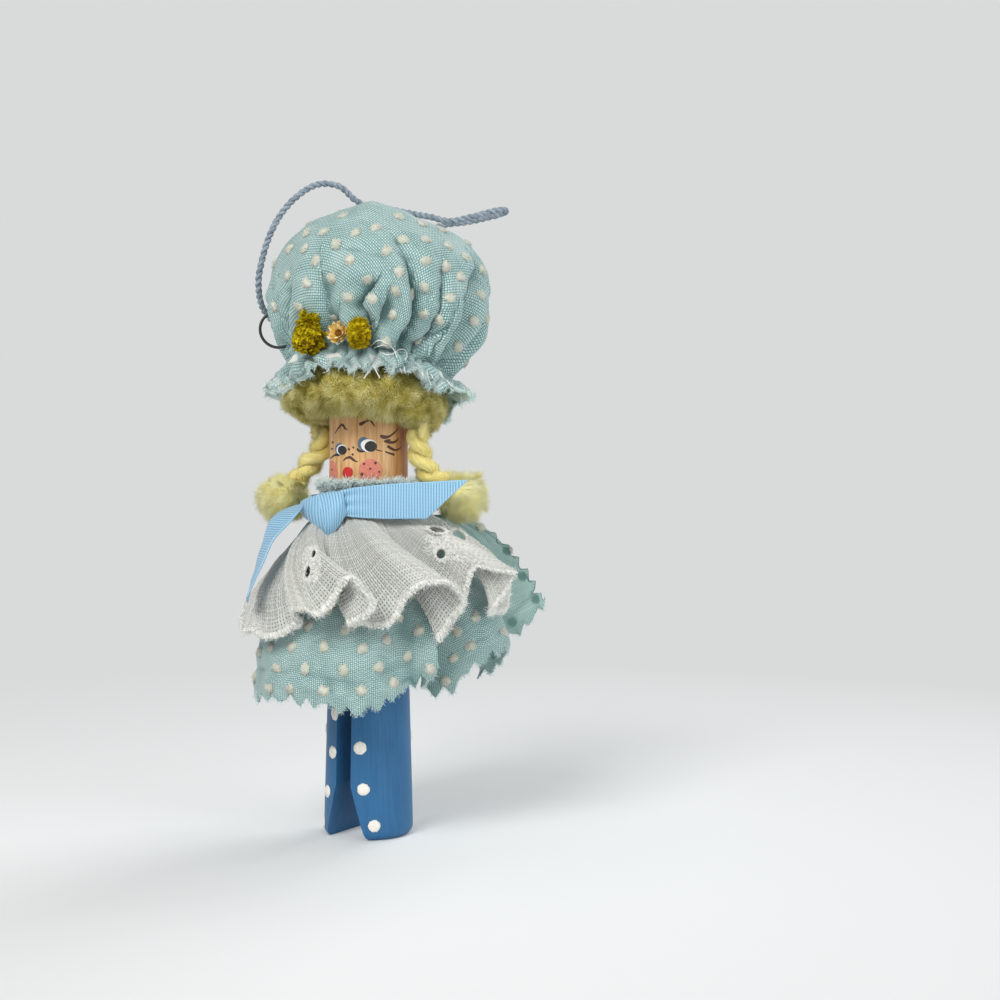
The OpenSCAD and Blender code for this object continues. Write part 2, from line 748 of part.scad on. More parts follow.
// Bent black wire, its ends pushed through the cap's cloth into the filling
module wire_loop() {
    wire_place = around(wire_face_angle - 90) * wire_side + around(180 + wire_face_angle) * wire_back
        + [0, 0, cap_z + wire_rise];
    color("dimgray")
        translate(wire_place)
            rotate([90, 0, wire_face_angle])
                rotate([0, 0, wire_from])
                    rotate_extrude(angle = wire_sweep)
                        translate([wire_bend, 0])
                            circle(d = wire_dia, $fn = 24);
}

module hanging_cord() {
    last = len(CORD_ROUTE) - 1;
    line = [for (k = [0:last * cord_splits]) row_at(CORD_ROUTE, k / cord_splits)];
    color("lightslategray")
        tube(line, [for (p = line) cord_dia / 2], cord_sides);
}

module cord_knot() {
    color("lightslategray")
        in_cap()
            translate(knot_place)
                sphere(d = knot_dia);
}

clothespin();
hair_roll();
braid_left();
braid_right();
braid_tie_left();
braid_tie_right();
tuft_left();
tuft_right();
mob_cap();
cap_stuffing();
cap_thread();
dress();
apron();
neck_thread();
neck_ribbon();
flower_left();
flower_middle();
flower_right();
wire_loop();
hanging_cord();
cord_knot();
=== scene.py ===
import math

import bmesh
import bpy
import numpy as np
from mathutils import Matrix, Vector, noise
from mathutils.bvhtree import BVHTree
from numpy.linalg import norm


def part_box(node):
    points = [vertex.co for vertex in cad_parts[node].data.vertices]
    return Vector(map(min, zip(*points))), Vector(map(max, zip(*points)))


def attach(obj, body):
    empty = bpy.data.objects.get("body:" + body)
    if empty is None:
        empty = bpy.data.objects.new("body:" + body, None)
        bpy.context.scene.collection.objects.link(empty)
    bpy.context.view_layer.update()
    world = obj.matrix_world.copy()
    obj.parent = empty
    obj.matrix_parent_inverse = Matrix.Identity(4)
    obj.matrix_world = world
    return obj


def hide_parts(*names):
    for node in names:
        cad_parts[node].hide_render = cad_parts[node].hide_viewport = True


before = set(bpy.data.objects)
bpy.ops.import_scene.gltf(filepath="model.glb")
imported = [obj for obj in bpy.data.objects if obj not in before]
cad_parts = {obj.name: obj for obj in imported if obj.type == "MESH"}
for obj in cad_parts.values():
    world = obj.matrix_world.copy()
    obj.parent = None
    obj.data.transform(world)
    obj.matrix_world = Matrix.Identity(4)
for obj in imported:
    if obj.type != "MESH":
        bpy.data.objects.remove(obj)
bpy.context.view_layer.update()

RNG = np.random.default_rng(7)
MM = 0.001
UP = np.array([0.0, 0.0, 1.0])
TURN = 2 * math.pi

# A level pinhole view, fitted to the photograph; places in millimetres, pixels in the photograph
CAMERA = np.array([147.9, -202.8, 56.4])
YAW = math.radians(31)
PHOTO_SIDE = 1000
PHOTO_MIDDLE = PHOTO_SIDE / 2
FOCAL_PX = 1470
SENSOR = 36.0
AHEAD = np.array([-math.sin(YAW), math.cos(YAW), 0.0])
ASIDE = np.array([math.cos(YAW), math.sin(YAW), 0.0])


def make_camera():
    data = bpy.data.cameras.new("camera")
    data.sensor_width = SENSOR
    data.lens = SENSOR * FOCAL_PX / PHOTO_SIDE
    data.clip_start = 0.01
    data.clip_end = 50
    cam = bpy.data.objects.new("camera", data)
    bpy.context.scene.collection.objects.link(cam)
    cam.location = CAMERA * MM
    cam.rotation_euler = (math.radians(90), 0, YAW)
    bpy.context.scene.camera = cam


make_camera()


def sight(px, py):
    """Direction from the camera through a place of the photograph."""
    d = AHEAD + ASIDE * (px - PHOTO_MIDDLE) / FOCAL_PX + UP * (PHOTO_MIDDLE - py) / FOCAL_PX
    return d / norm(d)


def photo_place(p):
    """Pixel of the photograph at which the camera sees a point."""
    d = np.asarray(p) - CAMERA
    depth = np.dot(d, AHEAD)
    return (PHOTO_MIDDLE + FOCAL_PX * np.dot(d, ASIDE) / depth,
            PHOTO_MIDDLE - FOCAL_PX * d[2] / depth)


# Sizes in millimetres, as in the CAD source. Heights: the cap's gathers, the dress's collar and its waist.
# Radii: the clothespin's body, the dress's collar and its waist. Crown: its radius, the height of its widest
# place above the gathers, its rise above that, and the gathers' radius. The cap leans back by its tilt.
CAP_Z, COLLAR_Z, WAIST_Z = 79.0, 57.5, 53.7
BODY_R, COLLAR_R, WAIST_R = 6.65, 7.45, 7.95
CROWN_R, BELLY, RISE, GATHER_R = 19.0, 13.0, 15.0, 12.7
UNDER = BELLY / math.sqrt(1 - (GATHER_R / CROWN_R) ** 2)
GATHER_ANGLE = -math.degrees(math.acos(GATHER_R / CROWN_R))
TILT = math.radians(12)


# Meshes
def around(deg):
    a = np.radians(deg)
    return np.stack([np.sin(a), -np.cos(a), np.zeros_like(a)], -1)


def out_of_cap(p):
    """Points of the cap's tilted frame, in the doll's frame."""
    p = np.asarray(p, float)
    y, h = p[..., 1], p[..., 2]
    return np.stack([p[..., 0], y * math.cos(TILT) + h * math.sin(TILT),
                     CAP_Z - y * math.sin(TILT) + h * math.cos(TILT)], -1)


def unit(v):
    v = np.asarray(v, float)
    return v / np.maximum(norm(v, axis=-1, keepdims=True), 1e-12)


def across(d, up=UP):
    """Two directions square to d and to each other."""
    a = unit(np.cross(d, up))
    return a, np.cross(d, a)


def circle(t, a, b):
    """Directions at angles t in the plane of a and b."""
    return np.cos(t)[:, None] * a + np.sin(t)[:, None] * b


def ease(q):
    """0 to 1 with a soft start and a soft end."""
    return q * q * (3 - 2 * q)


def lengths(line):
    """Distance along a line at each of its points."""
    return np.concatenate([[0], np.cumsum(norm(np.diff(line, axis=0), axis=1))])


def flat_tint(tint):
    """Colour places of a piece whose fibres show no tips."""
    return {"tint": tint, "tip": np.zeros(len(tint))}


def ring_faces(rings, n):
    """Quads between closed rings of n points that follow each other."""
    i = np.arange(n)
    j = (i + 1) % n
    return np.concatenate([np.stack([k * n + i, k * n + j, (k + 1) * n + j, (k + 1) * n + i], -1)
                           for k in range(rings - 1)])


def merged(parts):
    """Several pieces as one: each part is its points, its quads and its triangles."""
    start = np.cumsum([0] + [len(part[0]) for part in parts])
    faces = []
    for kind, corners in ((1, 4), (2, 3)):
        faces.append(np.concatenate([np.asarray(part[kind], int).reshape(-1, corners) + s
                                     for part, s in zip(parts, start)]))
    return np.concatenate([part[0] for part in parts]), faces


def make(name, verts, faces, mats, index=None, attrs=None, body="doll", slot=None, normals=None):
    """A mesh object from points in millimetres and arrays of faces of 3 or 4 corners."""
    verts = np.asarray(verts, float)
    faces = [np.asarray(f, int) for f in faces if len(f)]
    mesh = bpy.data.meshes.new(name)
    mesh.vertices.add(len(verts))
    mesh.vertices.foreach_set("co", (verts * MM).ravel())
    counts = np.concatenate([np.full(len(f), f.shape[1]) for f in faces])
    corners = np.concatenate([f.ravel() for f in faces])
    mesh.loops.add(len(corners))
    mesh.loops.foreach_set("vertex_index", corners)
    mesh.polygons.add(len(counts))
    mesh.polygons.foreach_set("loop_start", np.concatenate([[0], np.cumsum(counts)[:-1]]))
    if index is not None:
        mesh.polygons.foreach_set("material_index", np.concatenate(index).astype(np.int32))
    mesh.polygons.foreach_set("use_smooth", np.ones(len(counts), bool))
    mesh.update(calc_edges=True)
    if normals is not None:
        mesh.normals_split_custom_set_from_vertices(normals.tolist())
    for key, values in (attrs or {}).items():
        values = np.asarray(values, float)
        kind = "FLOAT" if values.ndim == 1 else "FLOAT_VECTOR"
        layer = mesh.attributes.new(key, kind, "POINT")
        layer.data.foreach_set("value" if kind == "FLOAT" else "vector", values.ravel())
    for material in mats if isinstance(mats, (list, tuple)) else [mats]:
        mesh.materials.append(material)
    obj = bpy.data.objects.new(name, mesh)
    bpy.context.scene.collection.objects.link(obj)
    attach(obj, body)
    return obj


def grid_normals(g, wrap):
    """Outward normals of a grid of points: columns run round, rows run down."""
    if wrap:
        du = np.roll(g, -1, 0) - np.roll(g, 1, 0)
    else:
        du = np.gradient(g, axis=0)
    dv = -np.gradient(g, axis=1)
    return unit(np.cross(du, dv))


def grid_faces(n, m, wrap, start=0, flip=False):
    cols = np.arange(n if wrap else n - 1)
    i, j = np.meshgrid(cols, np.arange(m - 1), indexing="ij")
    a, b = i * m + j, ((i + 1) % n) * m + j
    f = np.stack([a, b, b + 1, a + 1] if flip else [a, a + 1, b + 1, b], -1).reshape(-1, 4)
    return f + start


def fold_shade_share(g, nor, wrap, reach=1.5):
    """How deep each place of a grid lies in a fold, 0 to 1: below the cloth within reach of it. The cloth's
    colour uses it for painted shade in the folds.
    """
    full_depth = 0.45
    soft = g
    for axis in (0, 1):
        step = norm(np.diff(g, axis=axis), axis=-1).mean()
        round_it = wrap and axis == 0
        for _ in range(int(2 * (reach / step) ** 2)):
            a, b = np.roll(soft, 1, axis), np.roll(soft, -1, axis)
            if not round_it:
                a, b = np.swapaxes(a, 0, axis), np.swapaxes(b, 0, axis)
                s = np.swapaxes(soft, 0, axis)
                a[0], b[-1] = s[0], s[-1]
                a, b = np.swapaxes(a, 0, axis), np.swapaxes(b, 0, axis)
            soft = (a + 2 * soft + b) / 4
    return np.clip(((soft - g) * nor).sum(-1) / full_depth, 0, 1)


def shell(name, g, thick, mats, wrap=False, uv=None, attrs=None, **kw):
    """Closed cloth round a grid of points; material 0 is its right side and 1 its wrong side."""
    n, m = g.shape[:2]
    nor = grid_normals(g, wrap)
    # deep is painted shade: how far each place lies in a fold, which the cloth's material darkens
    attrs = dict(attrs or {}, deep=fold_shade_share(g, nor, wrap))
    t = np.broadcast_to(np.asarray(thick, float), (n, m))[..., None] / 2
    verts = np.concatenate([(g + nor * t).reshape(-1, 3), (g - nor * t).reshape(-1, 3)])
    outer, inner = grid_faces(n, m, wrap), grid_faces(n, m, wrap, n * m, True)
    low = np.arange(n if wrap else n - 1) * m + m - 1
    nxt = (np.arange(n if wrap else n - 1) + 1) % n * m + m - 1
    rims = [np.stack([low, low + n * m, nxt + n * m, nxt], -1)]
    low, nxt = low - m + 1, nxt - m + 1
    rims.append(np.stack([low, nxt, nxt + n * m, low + n * m], -1))
    if not wrap:
        j = np.arange(m - 1)
        rims.append(np.stack([j, j + n * m, j + 1 + n * m, j + 1], -1))
        j = j + (n - 1) * m
        rims.append(np.stack([j, j + 1, j + 1 + n * m, j + n * m], -1))
    faces = [outer, inner] + rims
    index = [np.zeros(len(outer)), np.ones(len(inner))] + [np.zeros(len(r)) for r in rims]
    layers = {"cloth": np.tile((uv if uv is not None else g).reshape(-1, 3), (2, 1))}
    for key, values in attrs.items():
        layers[key] = np.tile(values.ravel(), 2)
    return make(name, verts, faces, mats, index, layers, **kw)


def sweep_frames(p):
    """Tangents and carried normals of many lines at once: p is lines x points x 3."""
    tan = unit(np.gradient(p, axis=1))
    ref = np.where(np.abs(tan[:, :1, 2:3]) < 0.9, [[0.0, 0.0, 1.0]], [[1.0, 0.0, 0.0]])
    nor = np.empty_like(tan)
    cur = unit(np.cross(tan[:, 0], ref[:, 0]))
    for k in range(p.shape[1]):
        cur = unit(cur - (cur * tan[:, k]).sum(-1, keepdims=True) * tan[:, k])
        nor[:, k] = cur
    return tan, nor, np.cross(tan, nor)


def tubes(p, radius, sides=5):
    """Points and faces of closed round tubes along lines: p is lines x points x 3."""
    p = np.asarray(p, float)
    k, n = p.shape[:2]
    radius = np.broadcast_to(np.asarray(radius, float), (k, n))
    _, a, b = sweep_frames(p)
    ring = circle(np.arange(sides) * TURN / sides, a[:, :, None], b[:, :, None])
    verts = (p[:, :, None] + ring * radius[..., None, None]).reshape(-1, 3)
    i, j, s = np.meshgrid(np.arange(k), np.arange(n - 1), np.arange(sides), indexing="ij")
    base, s2 = (i * n + j) * sides, (s + 1) % sides
    quads = np.stack([base + s, base + s2, base + sides + s2, base + sides + s], -1).reshape(-1, 4)
    first = np.arange(k) * n * sides
    caps = []
    for q in range(1, sides - 1):
        caps.append(np.stack([first, first + q + 1, first + q], -1))
        end = first + (n - 1) * sides
        caps.append(np.stack([end, end + q, end + q + 1], -1))
    return verts, quads, np.concatenate(caps)


def jitter(n, size):
    """Random moves of n points."""
    return RNG.normal(size=(n, 3)) * size


def strands(root, along, length, width, bend, out):
    """Thin pointed fibres of three sides, shaded as a soft surface that faces outward."""
    k = len(root)
    length = np.broadcast_to(length, (k,))[:, None]
    a = unit(np.cross(along, out + jitter(k, 0.3)))
    b = np.cross(unit(along), a)
    ring = circle(np.arange(3) * TURN / 3, a[:, None], b[:, None])
    foot = root[:, None] + ring * width / 2
    tip = root + along * length + bend * length * 0.35
    verts = np.concatenate([foot, tip[:, None]], 1).reshape(-1, 3)
    q = np.arange(k)[:, None] * 4
    tris = np.stack([q + [0, 1, 2], q + [1, 2, 0], q + [3, 3, 3]], -1).reshape(-1, 3)
    normal = np.concatenate([unit(out[:, None] + ring * 0.6), unit(out + along * 0.3)[:, None]], 1)
    return verts, tris, np.tile([0.0, 0.0, 0.0, 1.0], k), normal.reshape(-1, 3)


def noise3(p, scale, seed=0.0):
    """Smooth noise at points, one number for each, in an array of the points' own shape."""
    values = [noise.noise(Vector(q)) for q in np.asarray(p).reshape(-1, 3) / scale + seed]
    return np.reshape(values, np.shape(p)[:-1])


def sine(degrees):
    """Sine of an angle in degrees."""
    return np.sin(np.radians(degrees))


def wander(p, scale, *seeds):
    """A smoothly changing direction at each point: noise of three seeds."""
    return np.stack([noise3(p, scale, seed) for seed in seeds], -1)


# Materials
def rgb(code):
    c = [int(code[i:i + 2], 16) / 255 for i in (0, 2, 4)]
    return [x / 12.92 if x <= 0.04045 else ((x + 0.055) / 1.055) ** 2.4 for x in c] + [1.0]


class Mat:
    """A material with short calls for its nodes."""

    def __init__(self, name, rough=0.8, **sockets):
        self.mat = bpy.data.materials.new(name)
        self.mat.use_nodes = True
        self.tree = self.mat.node_tree
        self.bsdf = self.tree.nodes["Principled BSDF"]
        self.bsdf.inputs["Roughness"].default_value = rough
        for key, value in sockets.items():
            self.bsdf.inputs[key.replace("_", " ")].default_value = value

    def node(self, kind, *ins, **props):
        """A node with its inputs by number or by name: a link, a value, or None to leave it."""
        n = self.tree.nodes.new("ShaderNode" + kind)
        named = props.pop("named", {})
        for key, value in props.items():
            setattr(n, key, value)
        for key, value in list(enumerate(ins)) + list(named.items()):
            if value is None:
                continue
            if isinstance(value, bpy.types.NodeSocket):
                self.tree.links.new(value, n.inputs[key])
            else:
                n.inputs[key].default_value = value
        return n

    def attr(self, name, socket="Fac"):
        return self.node("Attribute", attribute_name=name).outputs[socket]

    def coords(self):
        return self.node("TexCoord").outputs["Object"]

    def math(self, op, a, b=None):
        return self.node("Math", a, b, operation=op).outputs[0]

    def total(self, *parts):
        """Sum of (value, weight) pairs."""
        out = None
        for value, weight in parts:
            term = value if weight == 1 else self.math("MULTIPLY", value, weight)
            out = term if out is None else self.math("ADD", out, term)
        return out

    def noise(self, vector, scale, detail=3.0, rough=0.5):
        return self.node("TexNoise", vector, named={"Scale": scale, "Detail": detail,
                                                    "Roughness": rough}).outputs["Fac"]

    def stretch(self, vector, scale):
        return self.node("Mapping", vector, named={"Scale": scale}).outputs[0]

    def ramp(self, value, *stops):
        """A colour for each place: (place, colour code) pairs."""
        n = self.node("ValToRGB", value)
        e = n.color_ramp.elements
        while len(e) < len(stops):
            e.new(0.5)
        for k, (place, code) in enumerate(stops):
            e[k].position = place
            e[k].color = rgb(code) if isinstance(code, str) else [code] * 3 + [1]
        return n.outputs[0]

    def mix(self, share, a, b):
        """Colour a with a share of colour b."""
        n = self.node("Mix", data_type="RGBA")
        for key, value in ((0, share), (6, a), (7, b)):
            value = rgb(value) if isinstance(value, str) else value
            if isinstance(value, bpy.types.NodeSocket):
                self.tree.links.new(value, n.inputs[key])
            else:
                n.inputs[key].default_value = value
        return n.outputs[2]

    def done(self, colour, height=None, distance=0.05, strength=0.6):
        """The finished material; distance is how deep its relief is, in millimetres."""
        if isinstance(colour, bpy.types.NodeSocket):
            self.tree.links.new(colour, self.bsdf.inputs["Base Color"])
        else:
            self.bsdf.inputs["Base Color"].default_value = rgb(colour)
        if height is not None:
            b = self.node("Bump", named={"Height": height, "Distance": distance * MM,
                                         "Strength": strength})
            self.tree.links.new(b.outputs[0], self.bsdf.inputs["Normal"])
        return self.mat


def weave(m, pitch):
    """Height of a plain weave, 0 to 1, from the cloth's own coordinates in millimetres."""
    xyz = m.node("SeparateXYZ", m.attr("cloth", "Vector"))
    u, v = [m.math("SINE", m.math("MULTIPLY", xyz.outputs[k], math.pi / pitch)) for k in (0, 1)]
    crowns = m.math("MULTIPLY", m.math("ABSOLUTE", u), m.math("ABSOLUTE", v))
    return m.total((crowns, 0.85), (m.math("MULTIPLY", u, v), 0.12))


WEAVE_PITCH = 0.34
UNDYED = "F3F3EE"


def cloth_material(name, light, base, dark, deep, spot=None):
    """Woven cloth with painted shade in its folds; pale places are undyed, and dots show through the wrong
    side.
    """
    m = Mat(name, 0.92, Sheen_Weight=0.25, Sheen_Roughness=0.5, Specular_IOR_Level=0.2)
    w = weave(m, WEAVE_PITCH)
    patches = m.noise(m.coords(), 260.0, 4.0, 0.6)
    yarns = m.noise(m.stretch(m.attr("cloth", "Vector"), (0.25, 3.0, 1.0)), 1.0, 2.0)
    colour = m.ramp(m.total((w, 0.7), (patches, 0.3), (yarns, 0.25)),
                    (0.25, dark), (0.55, base), (0.95, light))
    # Painted shade: the colour deep, mixed in where the cloth lies in a fold
    colour = m.mix(m.math("MULTIPLY", m.attr("deep"), 0.7), colour, deep)
    colour = m.mix(m.attr("pale"), colour, UNDYED)
    if spot:
        colour = m.mix(m.attr("spot"), colour, spot)
    return m.done(colour, w, 0.1, 0.85)


# Colours: light, base, dark, the painted shade of the folds, and on the wrong side the dots' backs
AQUA = cloth_material("aqua_cloth", "E2EDEB", "9ABBB9", "527C79", "3F6969")
# The wrong side is painted lighter than the right side: painted light for the wrong side that shows in shade
# at the right of the skirt
AQUA_BACK = cloth_material("aqua_cloth_wrong_side", "E4F3EF", "BFDDD7", "8CB8B0", "7FAAA2",
                           "739A93")


def fibre_material(name, dark, base, light, rough=0.85):
    """Colour differs from clump to clump and grows lighter from the roots to the tips, a painted highlight on
    the tips.
    """
    m = Mat(name, rough, Specular_IOR_Level=0.15)
    # tip adds a painted highlight toward each fibre's or petal's tip
    place = m.total((m.attr("tint"), 1), (m.attr("tip"), 0.35))
    return m.done(m.ramp(place, (0.15, dark), (0.5, base), (0.95, light)),
                  m.noise(m.coords(), 3000.0), 0.03)


HAIR = fibre_material("hair_fibre", "85782A", "CBBE68", "F4ECAE")
TUFT = fibre_material("tuft_fibre", "E8DC72", "FBF2A0", "FFFCCB")
YARN = fibre_material("yarn", "EEDB78", "FCEE9E", "FFF8C8")
LINT = fibre_material("dot_flock", "BFC1AE", "D9DACB", "F2F3EA")
FRAY = fibre_material("frayed_thread", "B4D6D2", "D6EAE7", "F6FBF9")
# Frill fluff: pale fibres, made lighter still as painted light where the hair roll shades the frill
FLUFF = fibre_material("frill_fluff", "D2E8E5", "E9F5F3", "FCFFFE")
WHITE_THREAD = fibre_material("white_thread", "DADAD4", "EFEFEA", "FFFFFB")
EYELET_THREAD = fibre_material("eyelet_thread", "B8B8B2", "DEDED9", "F4F4F0")
LACE = fibre_material("lace_thread", "A8A8A2", "CECEC9", "EBEBE7")
CORD = fibre_material("cord_thread", "6F7B88", "98A4AF", "C2CAD1")
TIE = fibre_material("tie_thread", "CDB65C", "EBD987", "F8EFBE")


FINE_RIB = 0.22


def ribbon_material():
    """Satin-like ribs, lit on their crowns, with a fine weave across them."""
    m = Mat("grosgrain", 0.55, Sheen_Weight=0.4, Sheen_Roughness=0.35, Specular_IOR_Level=0.35)
    xyz = m.node("SeparateXYZ", m.attr("cloth", "Vector"))
    fine = m.math("SINE", m.math("MULTIPLY", xyz.outputs[1], TURN / FINE_RIB))
    colour = m.ramp(m.total((m.attr("rib"), 1), (fine, 0.12)),
                    (0.0, "497DA6"), (0.4, "7DB0D2"), (0.95, "A4CEE7"))
    return m.done(colour, fine, 0.02, 0.4)


RIBBON = ribbon_material()


PAINT_TOP = 36.0


def wood_material():
    """Bare wood above, blue paint on the legs and darker, redder wood down the right edge of the face."""
    m = Mat("wood_and_paint", 0.5, Specular_IOR_Level=0.4)
    place = m.coords()
    xyz = m.node("SeparateXYZ", place)
    long = m.noise(m.stretch(place, (1.0, 1.0, 0.06)), 1500.0, 4.0, 0.65)
    fine = m.noise(m.stretch(place, (1.0, 1.0, 0.03)), 6000.0, 2.0, 0.6)
    grain = m.total((long, 0.7), (fine, 0.3))
    wood = m.ramp(grain, (0.32, "986535"), (0.44, "C99863"), (0.6, "DBB382"), (0.75, "E8C89C"))
    side = m.total((xyz.outputs[0], 0.93 / (BODY_R * MM)), (xyz.outputs[1], 0.37 / (BODY_R * MM)))
    right_edge_dark = m.ramp(m.total((side, 1), (fine, 0.12)), (0.83, 0.0), (1.0, 1.0))
    wood = m.mix(right_edge_dark, wood, m.ramp(grain, (0.3, "8A5426"), (0.7, "CB8A4A")))
    streak = m.noise(m.stretch(place, (1.0, 1.0, 0.08)), 2200.0, 3.0, 0.6)
    paint = m.ramp(streak, (0.25, "245E8C"), (0.5, "296594"), (0.75, "306C9A"))
    edge = m.total((xyz.outputs[2], -1 / MM), (m.noise(place, 400.0), 3.0))
    painted = m.math("GREATER_THAN", edge, -PAINT_TOP)
    return m.done(m.mix(painted, wood, paint), grain, 0.03, 0.35)


def plain(name, dark, light, rough=0.5, scale=2500.0, distance=0.02, **sockets):
    """A slightly uneven colour and surface, for paint, wire and petals."""
    m = Mat(name, rough, **sockets)
    n = m.noise(m.coords(), scale, 3.0, 0.6)
    return m.done(m.ramp(n, (0.3, dark), (0.7, light)), n, distance, 0.5)


PAINT = {k: plain(k + "_paint", *v, 0.42, 1800.0, 0.015) for k, v in {
    "black": ("141414", "2A2826"), "brown": ("3A1F12", "5A3320"), "white": ("ECECEC", "FAFAFA"),
    "slate": ("4C6078", "667C94"), "red": ("B31C1A", "CC2B26"), "coral": ("C9705C", "DA8672"),
    "dots": ("E6E0D4", "F6F2EA")}.items()}
WIRE = plain("black_wire", "0E0E0E", "262626", 0.35, Specular_IOR_Level=0.6)
# A grey-aqua sheet behind the apron's threads: painted shade, the dress's colour darkened as seen through the
# weave's holes
LACE_SHADE_SHEET = plain("lace_shade_sheet", "748180", "98A2A0", 0.95, 1500.0)
for node, material in (("clothespin", wood_material()), ("wire_loop", WIRE)):
    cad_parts[node].data.materials.clear()
    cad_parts[node].data.materials.append(material)


# Hanging cord: two plies of fine thread twisted round the route of the CAD source
CORD_ROUTE = [
    [-10.0, 19.3, 97.7], [-8.6, 19.0, 99.8], [-4.4, 17.4, 102.4], [-0.2, 17.0, 104.4],
    [3.5, 17.6, 105.6], [7.1, 20.0, 106.2], [10.7, 22.4, 107.2], [12.6, 22.8, 107.6],
    [14.2, 21.8, 107.7], [14.6, 19.9, 107.6], [13.6, 18.3, 107.2], [10.5, 15.6, 106.0],
    [7.5, 13.6, 105.3], [4.6, 12.4, 106.1], [0.8, 11.8, 107.0], [-2.8, 9.9, 107.8],
    [-5.3, 7.5, 108.1], [-6.9, 5.4, 109.1], [-8.5, 3.0, 111.2], [-10.9, 0.1, 111.3],
    [-13.1, -2.7, 109.1], [-15.1, -4.8, 105.8], [-16.3, -6.2, 102.3], [-17.3, -7.0, 98.4],
    [-18.6, -6.7, 93.9], [-20.2, -3.6, 89.9], [-20.7, 1.2, 87.6], [-20.1, 7.2, 87.2],
    [-18.7, 12.2, 88.7], [-16.4, 15.9, 91.3], [-13.7, 18.1, 93.9], [-11.3, 18.9, 95.6]]


def through(table, k):
    """Smooth curve through a table's rows, at places k between them."""
    t = np.asarray(table, float)
    k = np.asarray(k, float)
    last = len(t) - 1
    i = np.minimum(np.floor(k).astype(int), last - 1)
    f = (k - i)[..., None]
    a, b = t[np.maximum(i - 1, 0)], t[i]
    c, d = t[i + 1], t[np.minimum(i + 2, last)]
    return (2 * b + (c - a) * f + (2 * a - 5 * b + 4 * c - d) * f ** 2
            + (3 * b - a - 3 * c + d) * f ** 3) / 2


def evenly(line, step):
    """The line with points at even steps along it."""
    line = np.asarray(line, float)
    s = lengths(line)
    t = np.linspace(0, s[-1], max(int(s[-1] / step), 2) + 1)
    return np.stack([np.interp(t, s, line[:, k]) for k in range(3)], -1), t


def twisted(line, ply_r, ply_at, turn, threads=0, thread_r=0.0, thread_turn=0.0, plies=2, step=0.25,
            sides=5):
    """Tubes of plies twisted round a line, each ply made of threads twisted in turn, and their tints."""
    line, s = evenly(line, step)
    _, a, b = sweep_frames(line[None])
    out = []
    for k in range(plies):
        at = np.broadcast_to(np.asarray(ply_at, float), s.shape)[:, None]
        ply = line + at * circle(TURN * (s / turn + k / plies), a[0], b[0])
        if not threads:
            out.append((ply, ply_r))
            continue
        _, pa, pb = sweep_frames(ply[None])
        for q in range(threads):
            r = np.broadcast_to(np.asarray(ply_r, float), s.shape)[:, None]
            out.append((ply + r * circle(TURN * (s / thread_turn + q / threads), pa[0], pb[0]), thread_r))
    lines = np.stack([p for p, _ in out])
    radii = np.stack([np.broadcast_to(np.asarray(r, float), s.shape) for _, r in out])
    tint = np.repeat(0.25 + 0.4 * RNG.random(len(out)), len(s) * sides)
    return *tubes(lines, radii, sides), tint


def thread(name, line, material, slot, *twist, body="doll", shade=1.0, **more):
    """A piece twisted of two plies along a line; twist and more are what twisted asks for."""
    verts, quads, caps, tint = twisted(line, *twist, **more)
    return make(name, verts, [quads, caps], material, attrs=flat_tint(tint * shade), slot=slot, body=body)


def make_cord():
    line = through(CORD_ROUTE, np.linspace(0, len(CORD_ROUTE) - 1, 300))
    piece = thread("hanging_cord_twisted", line, CORD, "cord", 0.24, 0.26, 2.3, 9, 0.11, 4.5)
    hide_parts("hanging_cord")
    round(lengths(line)[-1] * MM, 4)


make_cord()


def blob(name, centre, size, material, bumps, seed, rings=14, sides=22, **kw):
    """A closed lumpy ball, for a heart of petals or a filling."""
    t = np.linspace(0, math.pi, rings + 1)[1:-1]
    a = np.arange(sides) * TURN / sides
    d = np.stack([np.sin(t)[None] * np.cos(a)[:, None], np.sin(t)[None] * np.sin(a)[:, None],
                  np.broadcast_to(np.cos(t), (sides, len(t)))], -1)
    d = np.concatenate([d.reshape(-1, 3), [[0, 0, 1.0], [0, 0, -1.0]]])
    p = centre + d * np.asarray(size) * (1 + bumps * noise3(d, 0.5, seed))[:, None]
    m = rings - 1
    i = np.arange(sides)
    j = (i + 1) % sides
    top = np.stack([np.full(sides, sides * m), i * m, j * m], -1)
    low = np.stack([np.full(sides, sides * m + 1), j * m + m - 1, i * m + m - 1], -1)
    return make(name, p, [grid_faces(sides, m, True), top, low], material,
                attrs=flat_tint(0.4 + 0.3 * noise3(p, 0.4, seed)), **kw)


def middle(node):
    """Middle of a CAD node's box, in millimetres."""
    low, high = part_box(node)
    return (np.array(low) + np.array(high)) / 2 / MM


def make_knot():
    """An overhand knot: a trefoil of the same twisted cord."""
    centre = middle("cord_knot")
    t = np.linspace(0, TURN, 120)
    tre = np.stack([np.sin(t) + 2 * np.sin(2 * t), np.cos(t) - 2 * np.cos(2 * t), -np.sin(3 * t)], -1)
    out = unit(centre * [1, 1, 0.2])
    a = unit(np.cross(out, UP))
    line = centre + (tre[:, :1] * a + tre[:, 1:2] * np.cross(a, out) + tre[:, 2:] * out * 0.8) * 0.34
    piece = thread("cord_knot_tied", line, CORD, "cord", 0.15, 0.26, 2.4, 4, 0.14, 1.6)
    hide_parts("cord_knot")


make_knot()


# Mob cap: pleats at the gathers, thickness of its cloth
GATHERS = 36
CAP_CLOTH = 0.36
